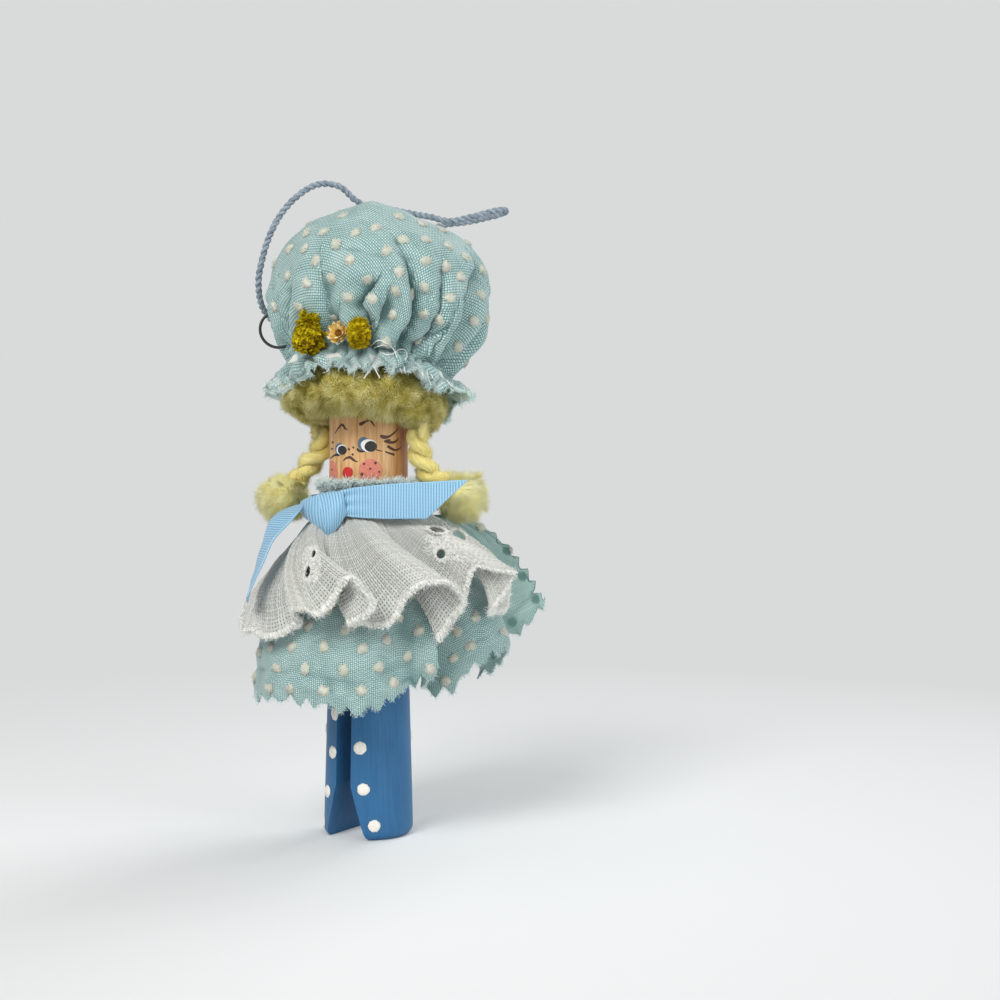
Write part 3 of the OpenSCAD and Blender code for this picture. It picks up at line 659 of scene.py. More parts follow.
# Folds of the crown: the bottom of each as (angle round, angle up, depth) places, and its width
CREASES = [
    (0.9, [(37.6, -42.7, 1.2), (36, -36, 1.3), (33.4, -29.8, 1.5), (29.5, -25.5, 1.6), (31.5, -21.3, 1.5),
           (34.5, -16.9, 1.3), (37.5, -10.1, 0.5)]),
    (1.3, [(40.8, -36, 0.5), (39.6, -31, 1.1), (40.3, -26.3, 1.1), (42.6, -22.5, 0.3)]),
    (1.2, [(55, -44, 2.4), (56.5, -36.7, 2.4), (58.9, -30.4, 2.5), (57.9, -23.9, 2.2), (56, -17.3, 2.0),
           (52.8, -10.4, 1.6), (50.8, -4.3, 1.1), (47.1, 3.9, 0.8), (40.4, 18.4, 0.2)]),
    (1.0, [(72, -44, 2.2), (76.2, -35.8, 1.9), (75.8, -30.5, 1.6), (73.8, -24.6, 1.3), (72.8, -17.5, 1.1),
           (70.9, -8.3, 0.9), (69.5, 1.2, 0.6), (67.9, 6.5, 0.1)]),
    (0.7, [(82.3, -44, 1.8), (81.3, -32.9, 1.3), (80.2, -23.9, 1.0), (80, -15, 0.2)]),
    (1.5, [(91.7, -45, 3.0), (88.4, -33.4, 3.2), (88.5, -24.5, 3.4), (88.4, -17.4, 3.0), (87.1, -9, 2.4),
           (88.2, 0.3, 1.7), (92.9, 12.8, 1.0), (97, 24, 0.2)]),
    (1.6, [(7.1, -40, 0.3), (7.3, -26.8, 0.8), (6.8, -18.2, 0.9), (3.7, -9.4, 0.2)]),
    (1.0, [(-30, -44, 1.6), (-24, -34, 1.4), (-18, -25, 1.0), (-14.8, -20, 0.7), (-12.1, -10, 0.1)]),
    (1.1, [(-42, -42, 1.7), (-33.9, -31, 1.5), (-31.7, -22.2, 1.0), (-41, -8, 0.2)]),
    (0.6, [(3.8, 1.5, 0.1), (12, 3, 0.3), (20.7, 2.5, 0.3), (38.6, -1.1, 0.1)]),
    (0.9, [(14, -46, 1.3), (15, -38, 1.0), (17, -30, 0.2)]),
    (0.9, [(-8, -46, 1.3), (-7, -38, 1.0), (-5, -30, 0.2)]),
    (1.4, [(106, -45, 2.2), (108, -30, 1.8), (107, -15, 1.2), (110, 0, 0.3)])]
for k, a in enumerate(np.arange(122, 312, 15.5)):
    lean = 5 * math.sin(7 * k)
    high = -12 + 22 * math.sin(3.1 * k + 1)
    CREASES.append((1.15 + 0.3 * math.sin(5 * k), [
        (a, -46, 2.1), (a + lean * 0.4, -34, 2.0 + 0.5 * math.sin(k)), (a + lean, -20, 1.3),
        (a + lean * 1.3, high, 0.25)]))


def crown(phi, theta):
    """The crown's smooth surface in the cap's frame."""
    t = np.radians(theta)
    out = around(phi) * (CROWN_R * np.cos(t))[..., None]
    out[..., 2] = BELLY + np.where(theta < 0, UNDER, RISE) * np.sin(t)
    return out


def crease_depth(phi, theta):
    """How far the folds draw the crown in, and the swelling beside them."""
    depth = np.zeros(phi.shape)
    # Millimetres to a degree round the crown and up it
    ring = CROWN_R * np.cos(np.radians(theta)) * math.pi / 180
    up = 0.29
    for width, places in CREASES:
        places = np.array(places)
        best = np.zeros(phi.shape)
        swell = np.zeros(phi.shape)
        for p, q in zip(places[:-1], places[1:]):
            x = ((phi - p[0] + 180) % 360 - 180) * ring
            y = (theta - p[1]) * up
            ex, ey = (q[0] - p[0]) * ring, (q[1] - p[1]) * up
            f = np.clip((x * ex + y * ey) / np.maximum(ex ** 2 + ey ** 2, 1e-9), 0, 1)
            d = np.hypot(x - f * ex, y - f * ey)
            deep = p[2] + (q[2] - p[2]) * f
            # Each fold is steep on one side and runs out gently on the other
            steep = np.where((x * ey - y * ex) * (1 if width < 1.2 else -1) > 0, 0.5, 1.7)
            best = np.maximum(best, 2.1 * deep * np.exp(-(np.hypot(d, 0.25) / (steep * width)) ** 1.25))
            beside = (d - 2.4 * steep * width) / (1.3 * width)
            swell = np.maximum(swell, deep * 0.4 * np.exp(-beside ** 2))
        depth += best - swell
    return depth


# Ruffle's lower edge: angle, radius, height in the cap's frame
RUFFLE_EDGE = [
    (-44, 15.2, -6.2), (-30, 14.9, -7.8), (-18, 15.2, -6.6), (-6, 15.3, -6.2), (1, 15.4, -5.8),
    (8, 16.4, -5.0), (13, 15.6, -3.8), (19, 15.2, -3.6), (25, 16.4, -5.0), (29, 15.2, -3.9),
    (36, 15.6, -3.5), (46, 16.6, -3.3), (56, 16.5, -3.3), (62, 15.2, -4.1), (70, 16.2, -3.6),
    (79, 15.4, -4.2), (88, 16.4, -4.7), (97, 16.0, -4.4), (106, 17.0, -4.0), (116, 17.2, -3.0),
    (127, 17.6, -2.5), (139, 16.3, -3.4), (151, 16.7, -5.7), (164, 15.4, -5.1), (177, 16.8, -5.8),
    (190, 15.4, -5.2), (203, 16.6, -5.9), (216, 15.4, -5.1), (229, 16.7, -5.6), (242, 15.3, -5.2),
    (255, 16.5, -5.9), (268, 15.4, -5.2), (281, 16.6, -5.8), (294, 15.3, -5.3), (305, 16.0, -5.7),
    (316, 16.2, -6.2)]


# The crown isn't round: angle about the line of sight, as seen from the front right, and radius
CROWN_OUTLINE = [
    (-90, 1.0), (-50, 1.0), (-33, 0.97), (-19, 1.0), (0, 0.99), (12, 1.0), (23, 0.98), (32, 0.97),
    (44, 0.925), (59, 0.89), (75, 0.935), (92, 1.0), (105, 0.935), (125, 0.895), (150, 0.94),
    (160, 0.945), (177, 0.95), (190, 0.98), (200, 1.0), (235, 1.0), (270, 1.0)]


def into_cap(p):
    """Points of the doll's frame, in the cap's tilted frame."""
    y, h = p[..., 1], p[..., 2] - CAP_Z
    return np.stack([p[..., 0], y * math.cos(TILT) - h * math.sin(TILT),
                     y * math.sin(TILT) + h * math.cos(TILT)], -1)


def slumped(p):
    """The crown drawn in where its outline lies lower than a round one."""
    d = p - out_of_cap(np.array([0, 0, BELLY]))
    a, b, far = d @ ASIDE, d[..., 2], d @ AHEAD
    size = norm(d, axis=-1)
    table = np.array(CROWN_OUTLINE)
    factor = np.interp((np.degrees(np.arctan2(b, a)) + 90) % 360 - 90, table[:, 0], table[:, 1])
    share = (1 - (far / size) ** 2) * (1 - ease(np.clip((far / size - 0.15) / 0.5, 0, 1)))
    return p + d * ((factor - 1) * share)[..., None]


def make_cap():
    """The crown with its folds and, below the gathers, the ruffle, as one grid of cloth."""
    cols, rows, low_rows = 640, 96, 24
    ruffle_fall = 6.5
    deepest = 4.6
    phi = np.arange(cols) * 360 / cols
    theta = np.linspace(88.5, GATHER_ANGLE, rows)
    P, T = np.meshgrid(phi, theta, indexing="ij")
    g = crown(P, T)
    flat = unit(g - [0, 0, BELLY])
    fade = np.clip((86 - T) / 30, 0, 1)
    drawn = deepest * np.tanh(np.maximum(crease_depth(P, T), -1.1) / deepest)
    drawn = drawn * np.clip((T - GATHER_ANGLE) / 6 + 0.25, 0, 1)
    soft = noise3(g, 7.0, 3.0) * 0.55 + noise3(g, 3.0, 9.0) * 0.16
    pleats = 0.5 + 0.5 * np.cos(np.radians(GATHERS * P + 60 * sine(3 * P)))
    near = np.exp(-(T - GATHER_ANGLE) / 9)
    g = g - flat * (drawn * fade - soft * fade + 0.9 * near * pleats)[..., None]
    edge = np.array(RUFFLE_EDGE)
    from_first = phi.copy()
    from_first[from_first > edge[-1, 0]] -= 360
    spread = through(edge, np.interp(from_first, edge[:, 0], np.arange(len(edge))))
    down = np.linspace(0, 1, low_rows + 1)[1:]
    teeth = 0.5 * np.abs(((phi / 360 * 34) % 1) * 2 - 1) + 0.35 * sine(phi * 61) * sine(phi * 9)
    ruffle = []
    for q in down:
        r = GATHER_R + (spread[:, 1] - GATHER_R) * q ** 1.1 + 0.8 * q * sine(23 * phi + 90 * q)
        row = around(phi) * r[:, None]
        row[:, 2] = spread[:, 2] * q + (teeth - 0.3) * q
        crumple = wander(row, 2.7, 5.0, 15.0, 25.0)
        fold = sine(phi * 43 + 120 * sine(phi * 5) + 60 * q) * 0.45 * math.sin(math.pi * q ** 0.8)
        row += crumple * [2.6 * q, 2.6 * q, 1.7 * q] + (noise3(row, 1.0, 7.0) * 0.45 * q)[:, None] * UP
        row += around(phi) * fold[:, None]
        ruffle.append(row)
    g = np.concatenate([g, np.stack(ruffle, 1)], 1)
    # The cloth's own coordinates: the weave runs straight over the top
    along = lengths(crown(np.zeros(rows), theta))
    along = np.concatenate([along, along[-1] + np.linspace(0, ruffle_fall, low_rows + 1)[1:]])
    angle = np.radians(np.concatenate([P, np.repeat(phi[:, None], low_rows, 1)], 1))
    arc = np.broadcast_to(along, angle.shape) * 0.8
    uv = np.stack([arc * np.sin(angle), arc * np.cos(angle), np.zeros(angle.shape)], -1)
    world = out_of_cap(g)
    world[:, :rows] = slumped(world[:, :rows])
    world[:, 0] = world[:, 0].mean(0) + (world[:, 0] - world[:, 0].mean(0)) * 0.05
    # Paler toward the ruffle's edge, and undyed in the places where its dots lie
    pale = np.zeros(g.shape[:2])
    pale[:, rows:] = 0.6 * down ** 3 * np.clip(0.6 + noise3(g[:, rows:], 2.2, 41.0), 0, 1)
    for k in range(17):
        aside = ((phi - 21.2 * k - 9 * math.sin(5.0 * k) + 180) % 360 - 180) * 0.27
        high = (down - 0.42 - 0.2 * math.sin(7.0 * k)) * ruffle_fall
        off = np.hypot(aside[:, None], high)
        pale[:, rows:] = np.maximum(pale[:, rows:], 0.95 * np.clip(3.2 - 3.2 * off / 0.95, 0, 1))
    piece = shell("mob_cap_cloth", world, CAP_CLOTH, [AQUA, AQUA_BACK], wrap=True, uv=uv,
                  attrs={"spot": np.zeros(g.shape[:2]), "pale": pale}, slot="dotted_cloth")
    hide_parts("mob_cap")
    return piece, world


CAP, CAP_GRID = make_cap()


def tree_of(obj):
    """A search tree of an object's surface, in millimetres."""
    verts = [v.co / MM for v in obj.data.vertices]
    return BVHTree.FromPolygons(verts, [list(f.vertices) for f in obj.data.polygons])


def seen(tree, px, py):
    """Where a place of the photograph lies on a surface, and the surface's normal there."""
    at, nor, _, _ = tree.ray_cast(Vector(CAMERA), Vector(sight(px, py)))
    return (np.array(at), np.array(nor)) if at is not None else None


def onto(tree, p, reach=4.0):
    """Nearest place of a surface within reach, and the surface's normal there."""
    at, nor, _, _ = tree.find_nearest(Vector(p), reach)
    return np.array(at), np.array(nor)


def dots(name, places, sizes):
    """Raised fuzzy dots: a rough dome each, with short fibres standing out of it."""
    sides, rings, fibres = 12, 4, 300
    steep = 1.45
    i = np.arange(sides)
    j = (i + 1) % sides
    last = (rings - 1) * sides
    dome = ring_faces(rings, sides)
    ends = np.concatenate([np.stack([last + i, last + j, np.full(sides, rings * sides)], -1),
                           np.stack([j, i, np.full(sides, rings * sides + 1)], -1)])
    parts, tint, tip, normals = [], [], [], []
    for (at, nor), size in zip(places, sizes):
        e1, e2 = across(nor, UP if abs(nor[2]) < 0.9 else [1.0, 0, 0])
        turn = RNG.random(2) * TURN

        def rough(w):
            return 1 + 0.13 * np.sin(2 * w + turn[0]) + 0.1 * np.sin(3 * w + turn[1])

        a = i * TURN / sides
        ring = circle(a, e1, e2)
        v, facing = [], []
        for k in range(rings):
            t = k / rings * steep
            r = size * 0.38 * math.cos(t) ** 0.7 * rough(a) * (1 + 0.1 * RNG.normal(size=sides))
            h = size * 0.15 * math.sin(t) - 0.14 * (k == 0) + 0.03 * RNG.normal(size=sides)
            v.append(at + r[:, None] * ring + np.outer(h, nor))
            facing.append(unit(ring * math.cos(t) + nor * (0.35 + math.sin(t))))
        v = np.concatenate(v + [(at + nor * size * 0.155)[None], (at - nor * 0.14)[None]])
        parts.append((v, dome, ends))
        tint.append(np.full(len(v), 0.4 + 0.2 * RNG.random()))
        tip.append(np.zeros(len(v)))
        normals += facing + [nor[None], -nor[None]]
        w = RNG.random(fibres) * TURN
        s = np.sqrt(RNG.random(fibres)) * size / 2 * (0.92 * rough(w) + 0.1 * RNG.normal(size=fibres))
        d = circle(w, e1, e2)
        share = (s / (size / 2))[:, None]
        rise = size * 0.13 * np.sqrt(np.maximum(1 - (share * 0.92) ** 2, 0))
        go = unit(d * (0.3 + share) + nor * (1.1 - share * 0.8) + jitter(fibres, 0.45))
        v, tris, tips, facing = strands(at + d * s[:, None] * 0.94 + nor * rise, go,
                                        0.14 + 0.32 * RNG.random(fibres) ** 2, 0.1,
                                        jitter(fibres, 0.4), unit(nor + d * share * 0.8))
        parts.append((v, (), tris))
        tint.append(np.repeat(0.15 + 0.55 * RNG.random(fibres), 4))
        tip.append(tips)
        normals.append(facing)
    verts, faces = merged(parts)
    return make(name, verts, faces, LINT, slot="dotted_cloth", normals=np.concatenate(normals),
                attrs={"tint": np.concatenate(tint), "tip": np.concatenate(tip)})


# Dots: their least size where the photograph shows them and elsewhere, and their pixels on the cap
DOT_SEEN, DOT_ADDED = 1.75, 1.7
CAP_DOTS = [
    (343, 216), (399, 217), (422, 224), (376, 228), (442, 230), (324, 232), (307, 233), (356, 233),
    (403, 240), (426, 240), (336, 244), (448, 246), (290, 249), (305, 249), (387, 251), (466, 257),
    (350, 260), (316, 261), (426, 261), (275, 264), (446, 267), (399, 272), (482, 270), (288, 276),
    (461, 277), (332, 278), (367, 279), (307, 283), (425, 287), (396, 291), (411, 294), (481, 295),
    (348, 297), (450, 298), (372, 299), (275, 306), (299, 307), (424, 314), (393, 315), (486, 318),
    (440, 320), (474, 321), (418, 340), (386, 342), (334, 318), (458, 347)]


def make_cap_dots():
    """The dots seen in the photograph, and rings of dots at an even spacing round the back."""
    tree = tree_of(CAP)
    places, sizes = [], []
    for px, py in CAP_DOTS:
        hit = seen(tree, px, py)
        if hit:
            places.append(hit)
            sizes.append(DOT_SEEN + 0.2 * RNG.random())
    taken = [p for p, _ in places]
    heart = out_of_cap(np.array([0, 0, BELLY]))
    for k, theta in enumerate(np.arange(74, -44, -17.5)):
        ring = CROWN_R * math.cos(math.radians(theta))
        n = max(int(TURN * ring / 6.6), 3)
        for q in range(n):
            phi = (q + 0.5 * (k % 2)) * 360 / n + RNG.normal() * 3
            at = out_of_cap(crown(np.array([phi]), np.array([theta + RNG.normal() * 2]))[0])
            out = unit(at - heart)
            hit, nor, _, _ = tree.ray_cast(Vector(at + out * 9), Vector(-out))
            if hit is None or np.dot(out, unit(CAMERA - at)) > 0.12:
                continue
            hit = np.array(hit)
            if min(norm(hit - p) for p in taken) < 4.3:
                continue
            places.append((hit, np.array(nor)))
            taken.append(hit)
            sizes.append(DOT_ADDED + 0.25 * RNG.random())
    dots("mob_cap_dots", places, sizes)


make_cap_dots()


# Loose threads and fuzz
def lines_of(root, along, length, curl, points=6):
    """Lines that start along a direction and wander off it."""
    k = len(root)
    t = np.linspace(0, 1, points)[None, :, None]
    a = unit(along)[:, None]
    b = unit(np.cross(a, RNG.normal(size=(k, 1, 3))))
    c = np.cross(a, b)
    sway = RNG.uniform(2, 6, (k, 1, 1))
    size = np.broadcast_to(length, (k,))[:, None, None]
    return root[:, None] + size * (a * t + curl * (b * t ** 2 + 0.4 * c * np.sin(sway * t) * t))


def tint_of(verts, lines, low=0.25, high=0.75):
    """Colour places for tubes of as many points each, one for each line."""
    return flat_tint(np.repeat(RNG.uniform(low, high, lines), len(verts) // lines))


def wisps(name, root, along, length, radius, curl, material, slot, points=6):
    """Loose threads that taper off."""
    p = lines_of(root, along, length, curl, points)
    v, quads, caps = tubes(p, np.linspace(1, 0.55, points)[None] * radius, 3)
    return make(name, v, [quads, caps], material, attrs=tint_of(v, len(p)), slot=slot)


def fuzz(name, root, along, length, width, bend, out, material, slot, body="doll", tint=None):
    """Short fibres that stand out of a surface."""
    v, tris, tip, normal = strands(root, along, length, width, bend, out)
    if tint is None:
        tint = RNG.uniform(0.15, 0.6, len(root))
    return make(name, v, [tris], material, attrs={"tint": np.repeat(tint, 4), "tip": tip}, slot=slot,
                body=body, normals=normal)


# Hair: a thick roll of brushed yarn round the head
HAIR_R, HAIR_Z = 9.6, -6


def make_hair():
    """The roll's lumpy core and the fibres that stand out of it."""
    cols, sides = 150, 36
    a = np.arange(cols) * 360 / cols
    t = np.arange(sides) * TURN / sides
    A, T = np.meshgrid(a, t, indexing="ij")

    def roll(A, T, r):
        """Places at angles A round the head and T round the roll, at a radius of the roll."""
        ring = around(A) * (HAIR_R + r * np.cos(T))[..., None]
        ring[..., 2] = HAIR_Z + r * np.sin(T)
        return out_of_cap(ring)

    mid = roll(A, T, 3.5)
    lump = noise3(mid, 2.6, 2.0)
    verts = roll(A, T, np.clip(3.65 + 0.8 * lump + 0.35 * noise3(mid, 0.9, 4.0), 2.8, 4.4)).reshape(-1, 3)
    i, j = np.meshgrid(np.arange(cols), np.arange(sides), indexing="ij")
    i2, j2 = (i + 1) % cols, (j + 1) % sides
    quads = np.stack([i * sides + j, i2 * sides + j, i2 * sides + j2, i * sides + j2], -1).reshape(-1, 4)
    # The core is painted darker where it dips between lumps: painted shade
    core = make("hair_roll_core", verts, [quads], HAIR, slot="hair",
                attrs=flat_tint(0.1 + 0.25 * (lump.ravel() + 0.6)))
    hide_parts("hair_roll")
    n = 62000
    A = RNG.uniform(0, 360, n)
    T = RNG.uniform(0, TURN, n)
    T = np.where(np.sin(T) > 0.85, RNG.uniform(math.pi, TURN, n), T)
    r0 = np.interp(RNG.random(n), [0, 1], [3.3, 3.7]) + 0.7 * noise3(roll(A, T, 3.5), 2.6, 2.0)
    root = roll(A, T, r0)
    wave = wander(root, 1.9, 1.0, 11.0, 21.0)
    out = unit(roll(A, T, r0 + 1) - root)
    along = unit(out * 0.75 + wave * 1.3 + jitter(n, 0.35) - UP * 0.2)
    lump = noise3(root, 2.6, 2.0)
    length = 0.85 + 0.5 * RNG.random(n) + 0.4 * lump
    # Longer over the forehead, shorter inside, where the fibres meet the face
    front = np.abs((A - 30 + 180) % 360 - 180) < 42
    length = length + np.where(np.abs(T - 1.5 * math.pi - 0.15) < 0.6, np.where(front, 0.7, -0.45), 0)
    length = np.where(np.cos(T) < -0.75, length * 0.45, length) + np.where(np.sin(T) > 0.45, 0.7, 0)
    # Tone from clump to clump, plus painted shade: lighter on raised lumps, darker between them
    tint = np.clip(0.28 + 0.55 * noise3(root, 1.2, 31.0) + 0.25 * RNG.random(n) + 0.3 * lump, 0.02, 0.8)
    fuzz("hair_roll_fibres", root, along, np.clip(length, 0.3, 2.2), 0.1, wave * 0.9 - UP * 0.2,
         unit(out + wave * 0.3), HAIR, "hair", tint=tint)


make_hair()


# Braids, their ties and tufts
BRAIDS = {"left": [[-9.05, -0.36, 66.0], [-12.31, -1.72, 61.58], [-15.93, -3.17, 56.64]],
          "right": [[9.05, 0.63, 66.0], [10.86, 1.72, 61.19], [15.84, 4.53, 56.9]]}


def make_braid(side):
    """A braid of two plies with its fuzz, the thread tied round it and the tuft under that."""
    b = np.array(BRAIDS[side])
    left = side == "left"
    body = side + "_braid"
    end = b[2] + unit(b[1] - b[2]) * 5.05
    apart = unit(b[0] * [1, 1, 0])
    root = [b[0] + UP * 3.0 + apart * 1.8, b[0] + apart * 0.3]
    line = through(root + [b[1], end], np.linspace(0, 3, 80))
    line = np.concatenate([line, line[-1:] + unit(b[2] - end) * np.linspace(0.1, 1.2, 5)[:, None]])
    step, plies, threads, sides = 0.3, 2, 13, 6
    s = np.linspace(0, 1, len(evenly(line, step)[0]))
    narrow = 1 - 0.32 * np.exp(-((s - 0.86) / 0.09) ** 2) - 0.5 * np.exp(-(s / 0.14) ** 2)
    v, quads, caps, tint = twisted(line, 0.72 * narrow, 1.02 * narrow, 6.6 if left else -6.6, threads, 0.3,
                                   7.5, plies, step, sides)
    piece = make("braid_%s_plies" % side, v, [quads, caps], YARN, slot="yarn", body=body,
                 attrs=flat_tint(tint + 0.2 * noise3(v, 0.5)))
    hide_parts("braid_" + side)
    n = 16000
    flow = unit(np.gradient(v.reshape(plies * threads, -1, sides, 3), axis=1)).reshape(-1, 3)
    # No fuzz on the side that swings against the face
    inner = (v @ apart < 9.3) & (v[:, 2] > 63)
    pick = RNG.choice(np.flatnonzero(~inner), n)
    centre = line[np.argmin(((v[pick][:, None] - line[None]) ** 2).sum(-1), 1)]
    out = unit(v[pick] - centre)
    fuzz("braid_%s_fuzz" % side, v[pick] - out * 0.05,
         unit(flow[pick] * RNG.choice([-1, 1], (n, 1)) + out * 0.45 + jitter(n, 0.4)),
         0.4 + 0.8 * RNG.random(n) ** 2, 0.07, jitter(n, 0.8), out, YARN, "yarn", body)
    # Tie: four turns of thread above the tuft
    k = int(0.88 * (len(line) - 5))
    ahead = unit(line[k + 1] - line[k - 1])
    w = np.linspace(0, TURN * 4, 120)
    coil = line[k] + ahead * (w[:, None] / TURN - 2) * 0.34 + 1.28 * circle(w, *across(ahead))
    tie = thread("braid_tie_%s_turns" % side, coil, TIE, "yarn_tie", 0.12, 0.1, 1.1, step=0.16, sides=6,
                 body=body)
    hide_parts("braid_tie_" + side)
    # Tuft: ends of yarn that fan out from the tie, round a lumpy core. The first draw isn't used, it keeps
    # those after it in their order.
    RNG.normal(size=(46, 3))
    core = blob("tuft_%s_core" % side, b[2], 3.4, TUFT, 0.13, 3.0 if left else 8.0, 22, 34, slot="tuft",
                body=body)
    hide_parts("tuft_" + side)
    n = 15000
    d = unit(RNG.normal(size=(n, 3)))
    lump = noise3(d, 0.33, 5.0 if left else 9.0)
    root = b[2] + d * (3.1 + 0.45 * lump[:, None] + 0.25 * RNG.random((n, 1)))
    flow = unit(root - end)
    wave = wander(root, 1.6, 2.0, 12.0, 22.0)
    comb = unit(flow - d * (flow * d).sum(-1, keepdims=True) + wave * 0.6)
    along = unit(0.55 * d + 0.8 * comb + wave * 0.5 + jitter(n, 0.3))
    length = np.clip(1.3 + 1.1 * RNG.random(n) ** 2 + 0.4 * lump, 0.5, 2.6)
    # Tone from clump to clump, plus painted shade: lighter where the tuft swells, darker where it dips
    tint = np.clip(0.35 + 0.45 * noise3(root, 1.1, 33.0) + 0.3 * RNG.random(n) + 0.2 * lump, 0.05, 0.8)
    fuzz("tuft_%s_fibres" % side, root, along, length, 0.1, wave * 0.9, unit(d + wave * 0.25), TUFT,
         "tuft", body, tint)


make_braid("left")
make_braid("right")


# Cap: frayed edge, loose threads, gathering thread and filling
LOOSE_THREADS = [
    [(372, 367), (368, 372), (364, 378)], [(373, 366), (377, 372), (380, 378)],
    [(371, 346), (378, 340), (387, 343), (394, 350), (397, 357)], [(374, 349), (382, 345), (391, 347)],
    [(395, 352), (402, 349), (407, 354), (405, 360)], [(380, 352), (388, 355), (398, 352)],
    [(400, 368), (402, 373), (404, 377)], [(404, 366), (405, 372), (408, 377)],
    [(422, 372), (424, 378), (423, 384)], [(427, 371), (428, 378), (431, 385)], [(431, 374), (434, 380)],
    [(446, 380), (452, 386), (455, 392)]]


def make_cap_trim():
    """The cap's frayed edge, its loose threads and the thread that gathers it."""
    edge = CAP_GRID[:, -1]
    n = 4600
    k = RNG.integers(0, len(edge), n)
    out = unit(edge - CAP_GRID[:, -3])[k]
    turn = unit(np.roll(edge, -1, 0) - edge)[k]
    wisps("mob_cap_fray", edge[k] - out * 0.15 + jitter(n, 0.1),
          out + turn * RNG.normal(size=(n, 1)) * 0.7 + jitter(n, 0.25),
          0.2 + 0.95 * RNG.random(n) ** 2.5, 0.05, 0.6, FRAY, "dotted_cloth", points=5)
    # Loose threads that lie over the ruffle, from their places in the photograph; past far it is the back
    far = 262
    tree, hair = tree_of(CAP), tree_of(bpy.data.objects["hair_roll_core"])
    made = []
    for places in LOOSE_THREADS:
        line = []
        for k, q in enumerate(places):
            on_cap, on_hair = seen(tree, *q), seen(hair, *q)
            if on_cap and norm(on_cap[0] - CAMERA) < far:
                line.append(on_cap[0] + unit(CAMERA - on_cap[0]) * (0.5 + 0.4 * (k % 2)))
            elif on_hair:
                line.append(on_hair[0] + unit(CAMERA - on_hair[0]) * 3.6)
        if len(line) > 1:
            at = through(line, np.linspace(0, len(line) - 1, 12))
            made.append(at + RNG.normal(size=at.shape) * 0.05)
    v, quads, caps = tubes(np.array(made), 0.09, 4)
    make("mob_cap_loose_threads", v, [quads, caps], WHITE_THREAD, slot="dotted_cloth",
         attrs=tint_of(v, len(made), 0.5, 0.9))
    a = np.linspace(0, 360, 400)
    ring = around(a) * (12.55 + 0.12 * sine(36 * a))[:, None]
    ring[:, 2] = 0.15 + 0.1 * sine(17 * a)
    piece = thread("cap_thread_twisted", out_of_cap(ring), FRAY, "thread", 0.14, 0.12, 1.3, step=0.3,
                   sides=6, shade=0.5)
    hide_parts("cap_thread")


make_cap_trim()


def make_stuffing():
    """Loose filling that follows the crown's inside and leaves room for the knob."""
    g = into_cap(CAP_GRID[::6, 2:90:3])
    g = [0, 0, BELLY] + (g - [0, 0, BELLY]) * 0.945
    g[..., 2] = np.maximum(g[..., 2], 2.2)
    n = len(g)
    top = np.broadcast_to([0, 0, BELLY + RISE - 1.2], (n, 1, 3))
    w = out_of_cap(np.concatenate([top, g], 1))
    w += noise3(w, 2.0, 6.0)[..., None] * unit(w - out_of_cap([0, 0, BELLY])) * 0.3
    a = around(np.arange(n) * 360 / n)
    # The hollow for the knob: radius and height of its rings
    hollow = [a * r + UP * z for r, z in ((9, 83.2), (7.5, 84), (7.5, 95.2), (0.5, 95.6))]
    verts = np.concatenate([w, np.stack(hollow, 1)], 1)
    faces = grid_faces(n, verts.shape[1], True)
    verts = verts.reshape(-1, 3)
    piece = make("cap_filling", verts, [faces], WHITE_THREAD, slot="stuffing",
                 attrs=flat_tint(0.5 + 0.4 * noise3(verts, 1.0)))
    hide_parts("cap_stuffing")


make_stuffing()


# Dried flowers: heads of small crinkled petals
def petals(base, up, lean, length, width, cup, crinkle=0.12, steps=5):
    """Petals from places, each going up at first and then leaning over."""
    n = len(base)
    u = np.linspace(0, 1, steps)[None, :, None, None]
    v = np.linspace(-1, 1, 4)[None, None, :, None]
    up, lean = unit(up)[:, None, None], unit(lean)[:, None, None]
    side = unit(np.cross(up, lean))
    length = np.broadcast_to(length, (n,))[:, None, None, None]
    width = np.broadcast_to(width, (n,))[:, None, None, None]
    spread = np.sin(math.pi * (0.12 + 0.76 * u)) ** 0.6
    p = base[:, None, None] + length * (up * (u - 0.35 * u ** 2) + lean * 0.75 * u ** 2)
    p = p + side * v * width / 2 * spread - lean * cup * width * v ** 2 * spread
    p = p + RNG.normal(size=p.shape) * crinkle * width
    i, j, k = np.meshgrid(np.arange(n), np.arange(steps - 1), np.arange(3), indexing="ij")
    a = i * steps * 4 + j * 4 + k
    quads = np.stack([a, a + 1, a + 5, a + 4], -1).reshape(-1, 4)
    tip = np.broadcast_to(np.linspace(0, 1, steps)[None, :, None], (n, steps, 4)).ravel()
    tint = np.repeat(RNG.uniform(0.1, 0.65, n), steps * 4)
    return p.reshape(-1, 3), quads, {"tint": tint, "tip": tip}


def cap_out(a):
    """Outward direction of the cap's frame at an angle, in the doll's frame."""
    return unit(out_of_cap(around(np.array(float(a)))) - out_of_cap(np.zeros(3)))


